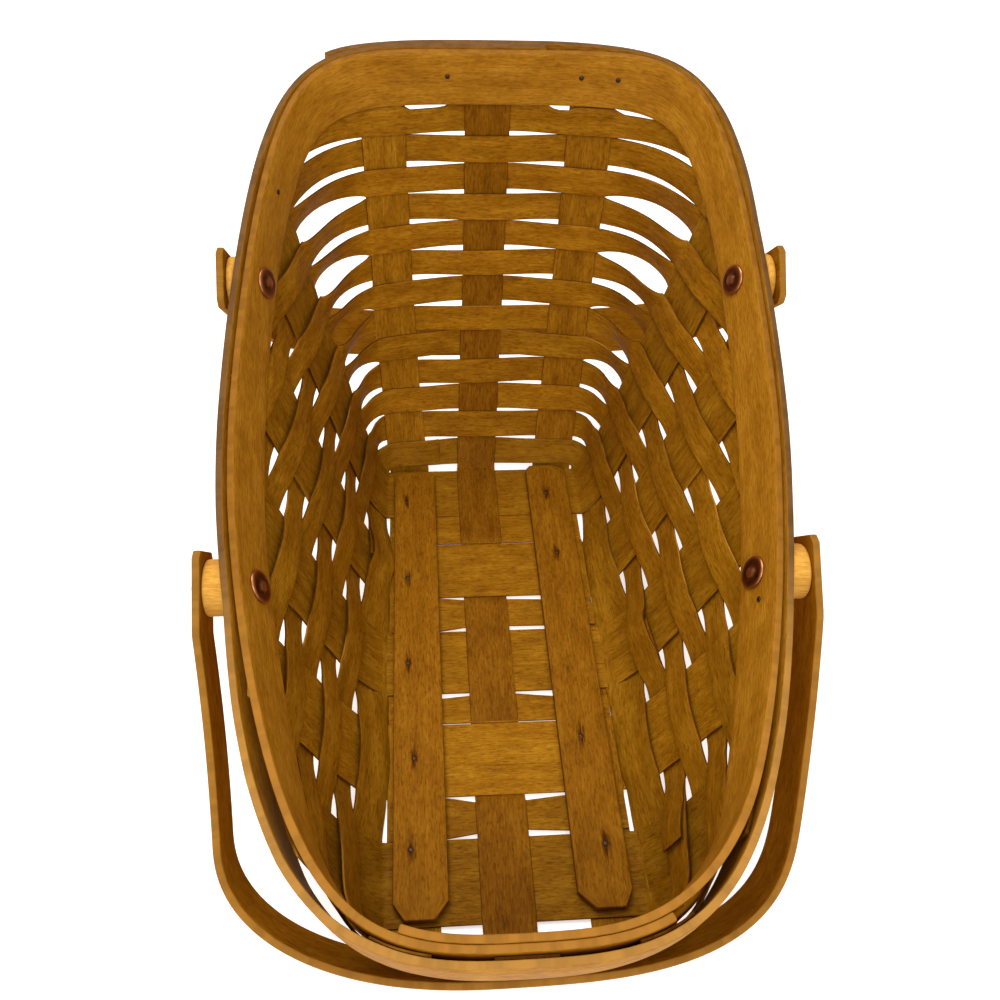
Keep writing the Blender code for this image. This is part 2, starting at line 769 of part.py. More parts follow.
def face_plane(side, y, z, d):
    """x on a band face at (y, z), and its slopes along y and z."""
    u = side_u(side, y, z)
    p, n, _ = wall_frame(u, z)
    q = p + n * d
    slope_y, slope_z = -n[1] / n[0], -n[2] / n[0]
    x = q[0] + slope_y * (y - q[1]) + slope_z * (z - q[2])
    return x, slope_y, slope_z


for where, (py, pz) in (("front", PIVOT_FRONT), ("back", PIVOT_BACK)):
    cx = rim_centre(py)
    for side, sg in (("right", 1), ("left", -1)):
        tool = cutter("rivet_hole_%s_%s" % (where, side), BORE_R, 60 * MM,
                      (cx + sg * 4.7 * S, py, pz), (1, 0, 0), 12)
        cut(inner, tool)
        cut(outer, tool)
        x_in, ay, az = face_plane(side, py, pz, -(BAND_OFF + BAND_T))
        x_out, by, bz = face_plane(side, py, pz, BAND_OFF + BAND_T)
        tag = "%s_%s" % (where, side)
        # rivet: domed head against the inner band, shank, burr over the handle
        seat = abs(x_in - cx) - CLEAR * 1.15
        end = HANDLE_HALF + CLEAR
        prof = [(seat - HEAD_T, 0.0, 1), (seat - HEAD_T, HEAD_R * 0.28, 1),
                (seat - HEAD_T * 0.86, HEAD_R * 0.62, 1), (seat - HEAD_T * 0.42, HEAD_R * 0.92, 1),
                (seat - HEAD_T * 0.20, HEAD_R, 1), (seat, HEAD_R * 0.97, 1),
                (seat, SHANK_R, 1), (end, SHANK_R, 0), (end, BURR_R, 0),
                (end + BURR_T, BURR_R * 0.94, 0), (end + BURR_T * 1.1, SHANK_R * 1.25, 0),
                (end + BURR_T * 1.9, SHANK_R * 0.7, 0), (end + BURR_T * 2.0, 0.0, 0)]
        turned("rivet_" + tag, prof, 14, "aged_copper", (cx, py, pz), sg, (ay, az))
        # spacer: round wooden block, sloped to sit on the band
        foot = abs(x_out - cx) + CLEAR * 2.2
        face = HANDLE_HALF - HANDLE_T - CLEAR
        r = SPACER_R
        prof = [(foot, BORE_R, 1), (foot, r, 1), (face - 0.9 * MM, r, 0),
                (face, r - 0.9 * MM, 0), (face, BORE_R, 0)]
        turned("spacer_" + tag, prof, 20, "light_wood", (cx, py, pz), sg, (by, bz))


def handle_path(roundness):
    """Half of the handle's outer face in its own plane: x, distance from hinge, heading."""
    def width(r):
        return HANDLE_HALF - HANDLE_TAPER * max(0.0, r - 0.8 * S)

    fine = [(width(r), r) for r in np.linspace(-HANDLE_TAIL, HANDLE_BEND, 60)]
    rise = HANDLE_REACH - HANDLE_BEND
    for a in np.linspace(0.0, math.pi / 2, 400)[1:]:
        r = HANDLE_BEND + rise * math.sin(a) ** (2.0 / roundness)
        fine.append((width(r) * max(0.0, math.cos(a)) ** (2.0 / roundness), r))
    fine = np.array(fine)
    run = np.concatenate([[0.0], np.cumsum(np.hypot(*np.diff(fine, axis=0).T))])
    bend = float(np.interp(HANDLE_BEND - 0.4 * S, fine[:60, 1], run[:60]))
    stops = list(np.linspace(0.0, bend, 6)) + list(np.linspace(bend, run[-1], 26))[1:]
    out = []
    for s in stops:
        x, r = np.interp(s, run, fine[:, 0]), np.interp(s, run, fine[:, 1])
        d = 1.5 * MM
        a, b = max(0.0, s - d), min(run[-1], s + d)
        dx = np.interp(b, run, fine[:, 0]) - np.interp(a, run, fine[:, 0])
        dr = np.interp(b, run, fine[:, 1]) - np.interp(a, run, fine[:, 1])
        out.append((float(x), float(r), math.atan2(dr, dx)))
    out[-1] = (0.0, HANDLE_REACH, math.pi)
    return out


def handle(name, pivot, drop, toward):
    """Bent strip; its origin is on the hinge axis.  toward is -1 front, +1 back."""
    a = math.radians(drop)
    along = Vector((0, toward * math.cos(a), -math.sin(a)))
    across = Vector((0, toward * math.sin(a), math.cos(a)))
    centre = Vector((rim_centre(pivot[0]), pivot[0], pivot[1]))
    w = HANDLE_W / 2
    rings = []

    def section(x, r, head, width, mirror):
        nx, nr = math.sin(head), -math.cos(head)        # outward normal in the plane
        ring = []
        for d, s in ((0.0, -1), (0.0, 1), (HANDLE_T, 1), (HANDLE_T, -1)):
            px, pr = x - nx * d, r - nr * d
            lean = HANDLE_LEAN * (max(0.0, pr - S) / (HANDLE_REACH - S)) ** 2
            ring.append(centre + Vector((mirror * px + lean, 0, 0)) + along * pr
                        + across * (s * width))
        return ring

    clip = 3.2 * MM
    for mirror, roundness in ((1, HANDLE_ROUND[0]), (-1, HANDLE_ROUND[1])):
        half = handle_path(roundness)
        x0, r0, h0 = half[0]
        seq = [(x0, r0, h0, w - clip), (x0, r0 + clip, h0, w)]
        seq += [(x, r, h, w) for x, r, h in half[1:]]
        if mirror < 0:
            seq = seq[-2::-1]
        rings += [section(x, r, h, ww, mirror) for x, r, h, ww in seq]
    ob = strip_solid(name, rings, "band_maple", smooth=0.5)
    for side, sg in (("right", 1), ("left", -1)):
        tool = cutter("hinge_hole_%s_%s" % (name, side), BORE_R, 16 * MM,
                      (centre[0] + sg * HANDLE_HALF, pivot[0], pivot[1]), (1, 0, 0), 12)
        cut(ob, tool)
    ob.data.transform(Matrix.Translation(-centre))
    ob.location = centre
    return ob


handle("front_handle", PIVOT_FRONT, FRONT_DROP, -1)
handle("back_handle", PIVOT_BACK, BACK_DROP, +1)

# ---------------------------------------------------------------- tacks in the inner band
RIM_TACKS = (("back", -0.85 * S), ("back", 1.95 * S), ("back", 2.75 * S), ("left", 5.35 * S),
             ("right", -2.35 * S))
for j, (side, at) in enumerate(RIM_TACKS):
    if side == "back":
        u = base_length(nearest_length(RIM_PTS, RIM_LEN, "back", at))
    else:
        u = side_u(side, at, rim_height(at) - BAND_H / 2)
    z = band_top(u) - BAND_H * 0.45
    p, n, _ = wall_frame(u, z)
    seat = p - n * (BAND_OFF + BAND_T + CLEAR + 0.3 * MM)
    tool = cutter("tack_hole_%d" % j, 0.9 * MM, 9 * MM, tuple(seat), tuple(n), 8)
    cut(inner, tool)
    tack("rim_tack_%d" % (j + 1), tuple(seat), tuple(-n), BAND_T)

# ---------------------------------------------------------------- common origin
for ob in bpy.data.objects:
    ob.location -= Vector((ORIGIN_X, ORIGIN_Y, 0.0))
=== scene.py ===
import math

import bmesh
import bpy
import numpy as np
from mathutils import Matrix, Vector


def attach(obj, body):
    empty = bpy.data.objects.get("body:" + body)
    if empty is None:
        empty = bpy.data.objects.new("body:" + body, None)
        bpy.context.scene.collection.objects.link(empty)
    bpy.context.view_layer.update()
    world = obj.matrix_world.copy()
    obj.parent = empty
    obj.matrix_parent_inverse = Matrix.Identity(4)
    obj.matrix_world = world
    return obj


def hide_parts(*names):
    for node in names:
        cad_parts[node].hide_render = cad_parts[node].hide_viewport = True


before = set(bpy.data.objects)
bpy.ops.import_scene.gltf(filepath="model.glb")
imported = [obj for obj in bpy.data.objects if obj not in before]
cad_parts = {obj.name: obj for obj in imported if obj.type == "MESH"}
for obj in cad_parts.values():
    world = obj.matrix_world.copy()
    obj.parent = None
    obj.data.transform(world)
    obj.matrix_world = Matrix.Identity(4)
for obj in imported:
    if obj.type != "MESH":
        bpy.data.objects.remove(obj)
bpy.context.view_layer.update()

MM = 0.001

# ================================================================ the wall the weave lies on
S = 22.0 * MM
ORIGIN = np.array((1.52 * MM, 10.777 * MM, 0.0))
BASE_HALF_X, BASE_BACK_Y, BASE_FRONT_Y, BASE_SQUARENESS = 2.55 * S, 6.05 * S, -6.18 * S, 24.0
RIM_HALF_X, RIM_WIDEST_Y, RIM_BACK_Y, RIM_FRONT_Y = 5.09 * S, 1.05 * S, 7.75 * S, -7.70 * S
RIM_SKEW, RIM_SKEW_Y = 0.034, -0.8 * S
RIM_TOP_MID, RIM_SLOPE, RIM_SAG = 6.22 * S, 0.4576, 0.0087 / S
BAND_H = 1.155 * S
STAKE_W, CROSS_W = 1.00 * S, 1.65 * S
STAKE_X = (-1.895 * S, -0.15 * S, 1.85 * S)
STAKE_X_BACK = (-2.22 * S, 0.02 * S, 2.26 * S)
STAKE_X_FRONT = (-2.05 * S, -0.15 * S, 2.05 * S)
CROSS_RIM_Y = (5.00 * S, 2.30 * S, -0.42 * S, -3.05 * S, -5.45 * S)
CROSS_Y = (5.02 * S, 2.42 * S, -0.22 * S, -2.64 * S, -5.18 * S)
FLOOR_Z, FLOOR_STEP = 1.5 * MM, 1.1 * MM
WALL_FOOT, ROW_LOW = 3.3 * MM, 3.6 * MM
SIDE_OUT, SIDE_IN, SIDE_FADE = 4.1 * MM, 3.9 * MM, 9.0 * MM
BACK_OUT, BACK_IN, BACK_FADE, BACK_BELLY = 0.7 * MM, 4.6 * MM, 13.7 * MM, 1.75
ROWS, ROW_PITCH, ROW_W, ROW_Z0 = 13, 0.69 * S, 0.59 * S, 0.465 * S
BAND_T, BAND_OFF, LAP = 3.0 * MM, 1.0 * MM, 4.4 * S
RUNNER_W, RUNNER_T = 1.03 * S, 3.2 * MM
RUNNER_Z = FLOOR_Z + FLOOR_STEP + 0.4 * MM + 0.3 * MM
RUNNER_X, RUNNER_CLIP = (-1.76 * S, 1.66 * S), 0.30 * S
PIVOT_FRONT, PIVOT_BACK = (-1.78 * S, 4.78 * S), (3.65 * S, 7.40 * S)
HANDLE_HALF, HANDLE_TAPER, HANDLE_BEND = 5.46 * S, 0.133, 4.28 * S
HANDLE_ROUND, HANDLE_LEAN = (3.08, 2.23), -0.43 * S
HANDLE_T, HANDLE_W, HANDLE_TAIL, HANDLE_REACH = 3.0 * MM, 1.14 * S, 0.64 * S, 6.80 * S
FRONT_DROP, BACK_DROP = 39.1, 45.0
HEAD_R, HEAD_T, BURR_R, BURR_T, SPACER_R = 6.6 * MM, 2.3 * MM, 5.0 * MM, 1.3 * MM, 0.50 * S

rng = np.random.default_rng(7)


def signed_pow(v, p):
    return math.copysign(abs(v) ** p, v)


def base_point(a):
    e = 2.0 / BASE_SQUARENESS
    half_y = BASE_BACK_Y if math.cos(a) > 0 else -BASE_FRONT_Y
    return (BASE_HALF_X * signed_pow(math.sin(a), e), half_y * signed_pow(math.cos(a), e), 0.0)


def rim_centre(y):
    return RIM_SKEW * (y - RIM_SKEW_Y) * (1.0 if y > RIM_SKEW_Y else 0.4)


def rim_height(y):
    return RIM_TOP_MID + RIM_SLOPE * y + RIM_SAG * y * y


def rim_point(a):
    s, c = math.sin(a), math.cos(a)
    if c >= 0:
        n, half = 2.3 + 2.5 * abs(c), RIM_BACK_Y - RIM_WIDEST_Y
    else:
        n, half = 2.02 + 0.93 * c * c, RIM_WIDEST_Y - RIM_FRONT_Y
    x = RIM_HALF_X * signed_pow(s, 2.0 / n)
    y = RIM_WIDEST_Y + half * signed_pow(c, 2.0 / n)
    return (x + rim_centre(y), y, rim_height(y))


def outline(point, count=4000):
    pts = np.array([point(2 * math.pi * i / count) for i in range(count + 1)])
    pts[-1] = pts[0]
    length = np.concatenate([[0.0], np.cumsum(np.linalg.norm(np.diff(pts, axis=0), axis=1))])
    even = np.linspace(0.0, length[-1], 2 * count + 1)
    return np.stack([np.interp(even, length, pts[:, k]) for k in range(3)], axis=1), even


BASE_PTS, BASE_LEN = outline(base_point)
RIM_PTS, RIM_LEN = outline(rim_point)
BASE_TOTAL, RIM_TOTAL = float(BASE_LEN[-1]), float(RIM_LEN[-1])


def at_length(pts, length, u):
    u = np.asarray(u) % length[-1]
    return np.stack([np.interp(u, length, pts[:, k]) for k in range(3)], axis=-1)


def nearest_length(pts, length, side, value):
    if side in ("back", "front"):
        mask = pts[:, 1] > 0 if side == "back" else pts[:, 1] < 0
        err = np.abs(pts[:, 0] - value)
    else:
        mask = pts[:, 0] > 0 if side == "right" else pts[:, 0] < 0
        err = np.abs(pts[:, 1] - value)
    return float(length[int(np.argmin(np.where(mask, err, 1e9)))])


def perimeter_stakes():
    order = [("back", 1), ("back", 2)] + [("right", k) for k in range(5)]
    order += [("front", 2), ("front", 1), ("front", 0)]
    order += [("left", k) for k in range(4, -1, -1)] + [("back", 0)]
    out = []
    for side, k in order:
        if side == "back":
            b, r, w = STAKE_X[k], STAKE_X_BACK[k], STAKE_W
        elif side == "front":
            b, r, w = STAKE_X[k], STAKE_X_FRONT[k], STAKE_W
        else:
            b, r, w = CROSS_Y[k], CROSS_RIM_Y[k], CROSS_W
        out.append(dict(side=side, k=k, w=w, ub=nearest_length(BASE_PTS, BASE_LEN, side, b),
                        ur=nearest_length(RIM_PTS, RIM_LEN, side, r)))
    return out


def along_rim(stake):
    if stake["side"] in ("back", "front"):
        return stake["w"]
    y = at_length(RIM_PTS, RIM_LEN, stake["ur"])[1]
    return stake["w"] * math.hypot(1.0, RIM_SLOPE + 2 * RIM_SAG * y)


STAKES = perimeter_stakes()


def unwrap(seq, total):
    out = [seq[0] if seq[0] < total / 2 else seq[0] - total]
    for v in seq[1:]:
        while v < out[-1] - 1e-9:
            v += total
        out.append(v)
    return out


ANCHOR_B, ANCHOR_R = [], []
for stake, ub, ur in zip(STAKES, unwrap([s["ub"] for s in STAKES], BASE_TOTAL),
                         unwrap([s["ur"] for s in STAKES], RIM_TOTAL)):
    stake["u"] = ub
    ANCHOR_B += [ub - stake["w"] / 2, ub + stake["w"] / 2]
    ANCHOR_R += [ur - along_rim(stake) / 2, ur + along_rim(stake) / 2]


def monotone_map(xs, ys, xt, yt):
    n = len(xs)
    ex = [xs[-1] - xt] + list(xs) + [xs[0] + xt]
    ey = [ys[-1] - yt] + list(ys) + [ys[0] + yt]
    slope = [(ey[i + 1] - ey[i]) / (ex[i + 1] - ex[i]) for i in range(n + 1)]
    tang = [2 * slope[i] * slope[i + 1] / (slope[i] + slope[i + 1]) for i in range(n)]
    return np.array(ex), np.array(ey), np.array([tang[-1]] + tang + [tang[0]])


MAP_X, MAP_Y, MAP_M = monotone_map(ANCHOR_B, ANCHOR_R, BASE_TOTAL, RIM_TOTAL)


def rim_length(u):
    turns = math.floor((u - MAP_X[1]) / BASE_TOTAL)
    v = u - turns * BASE_TOTAL
    i = int(np.clip(np.searchsorted(MAP_X, v) - 1, 0, len(MAP_X) - 2))
    h = MAP_X[i + 1] - MAP_X[i]
    t = (v - MAP_X[i]) / h
    h00, h10 = 2 * t ** 3 - 3 * t ** 2 + 1, t ** 3 - 2 * t ** 2 + t
    h01, h11 = -2 * t ** 3 + 3 * t ** 2, t ** 3 - t ** 2
    y = h00 * MAP_Y[i] + h10 * h * MAP_M[i] + h01 * MAP_Y[i + 1] + h11 * h * MAP_M[i + 1]
    return y + turns * RIM_TOTAL


U_TABLE = np.linspace(MAP_X[1], MAP_X[1] + BASE_TOTAL, 4001)
V_TABLE = np.array([rim_length(u) for u in U_TABLE])
FEET = at_length(BASE_PTS, BASE_LEN, U_TABLE)
HEADS = at_length(RIM_PTS, RIM_LEN, V_TABLE)
_end = np.where(HEADS[:, 1] > RIM_WIDEST_Y, RIM_BACK_Y, RIM_FRONT_Y)
_lean = (HEADS[:, 1] - RIM_WIDEST_Y) / (_end - RIM_WIDEST_Y)
_flat = 1.0 - np.minimum(1.0, np.abs(HEADS[:, 0]) / RIM_HALF_X) ** 2
_most = np.where(HEADS[:, 1] > RIM_WIDEST_Y, BACK_BELLY, 0.88)
BELLIES = 0.06 + (_most - 0.06) * _flat * _lean ** 6


def base_length(v):
    turns = math.floor((v - V_TABLE[0]) / RIM_TOTAL)
    return float(np.interp(v - turns * RIM_TOTAL, V_TABLE, U_TABLE)) + turns * BASE_TOTAL


def ring_u(u):
    return (np.asarray(u) - U_TABLE[0]) % BASE_TOTAL + U_TABLE[0]


def band_top(u):
    return np.interp(ring_u(u), U_TABLE, HEADS[:, 2])


def wall(u, z):
    """Points of the wall surface for arrays of floor-outline length and height."""
    u, z = np.broadcast_arrays(np.asarray(u, float), np.asarray(z, float))
    w = ring_u(u)
    foot = np.stack([np.interp(w, U_TABLE, FEET[:, k]) for k in range(2)], axis=-1)
    head = np.stack([np.interp(w, U_TABLE, HEADS[:, k]) for k in range(3)], axis=-1)
    b = np.interp(w, U_TABLE, BELLIES)
    q = z / head[..., 2]
    g = q + b * q * (1.0 - q)
    xy = foot + (head[..., :2] - foot) * g[..., None]
    part = foot[..., 0] / BASE_HALF_X
    x = SIDE_OUT * (1.0 - q) - (SIDE_OUT + SIDE_IN) * np.exp(-z / SIDE_FADE)
    end = np.maximum(0.0, foot[..., 1] / BASE_BACK_Y) ** BASE_SQUARENESS
    y = BACK_OUT * (1.0 - q) - (BACK_OUT + BACK_IN) * np.exp(-z / BACK_FADE)
    shift = np.stack([np.sign(part) * np.abs(part) ** BASE_SQUARENESS * x, end * y], axis=-1)
    return np.concatenate([xy + shift, z[..., None]], axis=-1)


def wall_normal(u, z):
    e = 1.2 * MM
    du = wall(u + e, z) - wall(u - e, z)
    dz = wall(u, z + e) - wall(u, z - e)
    n = np.cross(dz, du)
    n /= np.linalg.norm(n, axis=-1, keepdims=True)
    p = wall(u, z)
    flip = (n[..., 0] * p[..., 0] + n[..., 1] * p[..., 1]) < 0
    return np.where(flip[..., None], -n, n)


def off(u, z, d):
    return wall(u, z) + wall_normal(u, z) * np.asarray(d)[..., None]


def stake_half(stake, z):
    half = stake["w"] / 2
    for _ in range(3):
        half *= stake["w"] / np.linalg.norm(wall(stake["u"] + half, z) - wall(stake["u"] - half, z))
    return half


def smoothstep(t):
    t = np.clip(t, 0.0, 1.0)
    return t * t * (3 - 2 * t)


def slow_noise(n, cell, amount, seed):
    """Smooth wander with a knot every cell samples."""
    r = np.random.default_rng(seed)
    knots = r.normal(0, amount, int(n / cell) + 4)
    x = np.arange(n) / cell + 1.0
    i = x.astype(int)
    t = smoothstep(x - i)
    return knots[i] * (1 - t) + knots[i + 1] * t


# ================================================================ mesh pieces
GRAIN, LOOK = "grain", "look"
PIECES = []


def new_piece(name, verts, faces, grain, look, mat, body, replaces=(), sharp=0.7):
    mesh = bpy.data.meshes.new("vis_" + name)
    mesh.from_pydata([tuple(v) for v in np.asarray(verts) - ORIGIN], [], faces)
    a = mesh.attributes.new(GRAIN, "FLOAT_VECTOR", "POINT")
    a.data.foreach_set("vector", np.asarray(grain, dtype=np.float32).ravel())
    b = mesh.attributes.new(LOOK, "FLOAT_VECTOR", "POINT")
    b.data.foreach_set("vector", np.asarray(look, dtype=np.float32).ravel())
    bm = bmesh.new()
    bm.from_mesh(mesh)
    bmesh.ops.recalc_face_normals(bm, faces=bm.faces)
    bm.to_mesh(mesh)
    bm.free()
    ob = bpy.data.objects.new("vis_" + name, mesh)
    bpy.context.scene.collection.objects.link(ob)
    mesh.materials.append(mat)
    mesh.shade_smooth()
    mesh.set_sharp_from_angle(angle=sharp)
    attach(ob, body)
    if replaces:
        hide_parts(*replaces)
    PIECES.append(ob)
    return ob


def sheet(name, mid, thick, rounding, mat, body, replaces=(), tint=1.0, seed=None,
          thick_scale=None, sharp=0.7, hue=0.0, shade=None):
    """Closed strip round a grid of mid-surface points, its long edges and ends rounded."""
    mid = np.asarray(mid, float)
    n, m, _ = mid.shape
    along = np.gradient(mid, axis=0)
    across = np.gradient(mid, axis=1)
    nor = np.cross(along, across)
    nor /= np.linalg.norm(nor, axis=-1, keepdims=True)
    al = along / np.linalg.norm(along, axis=-1, keepdims=True)
    ac = across / np.linalg.norm(across, axis=-1, keepdims=True)
    s = np.concatenate([[0.0], np.cumsum(np.linalg.norm(np.diff(mid[:, m // 2], axis=0), axis=1))])
    c = np.concatenate([[0.0], np.cumsum(np.linalg.norm(np.diff(mid[n // 2], axis=0), axis=1))])
    c -= c[-1] / 2
    h = thick / 2
    ts = np.ones(n) if thick_scale is None else np.asarray(thick_scale)
    hues = np.broadcast_to(hue, (n,))
    tints = tint * (np.ones(n) if shade is None else shade(mid[:, m // 2]))
    r = rounding
    seed = float(rng.uniform(0, 50)) if seed is None else seed
    arc = [math.radians(a) for a in (0, 30, 60, 90)]
    side = [(r * math.sin(a), 1.0 - (r / h) * (1 - math.cos(a))) for a in arc[1:]]
    if abs(side[-1][1]) > 0.05:
        side += [(q, -f) for q, f in reversed(side)]
    else:
        side += [(q, -f) for q, f in reversed(side[:-1])]
    top = [(j, 0.0, 1.0) for j in range(m)]
    ring = top + [(m - 1, q, f) for q, f in side]
    ring += [(j, 0.0, -1.0) for j in reversed(range(m))] + [(0, -q, f) for q, f in
                                                            [(q, -f) for q, f in side]]
    k = len(ring)
    # a small step at each end gives the cut end a softened edge
    e = min(0.35 * MM, 0.4 * h)
    rows = [(0, -0.0, 0.55, e), (0, 0.35 * e, 0.86, 0.4 * e), (0, e, 1.0, 0.0)]
    rows += [(i, 0.0, 1.0, 0.0) for i in range(1, n - 1)]
    rows += [(n - 1, -e, 1.0, 0.0), (n - 1, -0.35 * e, 0.86, 0.4 * e), (n - 1, 0.0, 0.55, e)]
    verts, grain, look = [], [], []
    side_reach = max(q for q, _ in side)
    for i, shift, squeeze, inset in rows:
        for j, q, f in ring:
            p = mid[i, j] + al[i, j] * shift
            edge_q = q
            if q != 0.0:
                edge_q = q - math.copysign(inset, q)
            p = p + ac[i, j] * edge_q + nor[i, j] * (h * f * ts[i] * squeeze)
            verts.append(p)
            is_edge = 1.0 if abs(q) > 0.8 * side_reach else (0.35 if q != 0 else 0.0)
            end = 1.0 if squeeze < 0.7 else 0.0
            grain.append((s[i] + shift, c[j] + q, seed))
            look.append((tints[i], max(is_edge, end * 0.9), hues[i]))
    faces = []
    for i in range(len(rows) - 1):
        a, b = i * k, (i + 1) * k
        for j in range(k):
            jj = (j + 1) % k
            faces.append((a + j, a + jj, b + jj, b + j))
    ns = len(side)
    for base, flip in ((0, False), ((len(rows) - 1) * k, True)):
        t = [base + j for j in range(m)]
        bt = [base + m + ns + (m - 1 - j) for j in range(m)]
        for j in range(m - 1):
            q = (t[j], t[j + 1], bt[j + 1], bt[j])
            faces.append(q if flip else tuple(reversed(q)))
        right = [t[-1]] + [base + m + x for x in range(ns)] + [bt[-1]]
        left = [bt[0]] + [base + m + ns + m + x for x in range(ns)] + [t[0]]
        for poly in (right, left):
            poly = list(dict.fromkeys(poly))
            faces.append(tuple(poly) if flip else tuple(reversed(poly)))
    return new_piece(name, verts, faces, grain, look, mat, body, replaces, sharp)


def turned(name, profile, sides, centre, direction, lean, mat, body, replaces=(), tint=1.0,
           sharp=0.6):
    """Piece turned about X from (along, radius, tilt, edge) rows; a pole has radius 0."""
    verts, grain, look, rings = [], [], [], []
    for a, r, tilt, edge in profile:
        ring = []
        count = 1 if r < 1e-7 else sides
        for i in range(count):
            w = 2 * math.pi * (i + 0.5) / sides
            dy, dz = r * math.cos(w), r * math.sin(w)
            shift = tilt * (lean[0] * dy + lean[1] * dz)
            verts.append((centre[0] + direction * a + shift, centre[1] + dy, centre[2] + dz))
            grain.append((a, r * (w if count > 1 else 0.0), 3.0 + direction + centre[1] * 40))
            look.append((tint, edge, 0.0))
            ring.append(len(verts) - 1)
        rings.append(ring)
    faces = []
    for p, q in zip(rings, rings[1:]):
        for i in range(sides):
            j = (i + 1) % sides
            if len(p) == 1:
                faces.append((p[0], q[i], q[j]))
            elif len(q) == 1:
                faces.append((p[i], p[j], q[0]))
            else:
                faces.append((p[i], p[j], q[j], q[i]))
    if len(rings[0]) > 1 and len(rings[-1]) > 1:
        p, q = rings[-1], rings[0]
        for i in range(sides):
            j = (i + 1) % sides
            faces.append((p[i], p[j], q[j], q[i]))
    return new_piece(name, verts, faces, grain, look, mat, body, replaces, sharp)


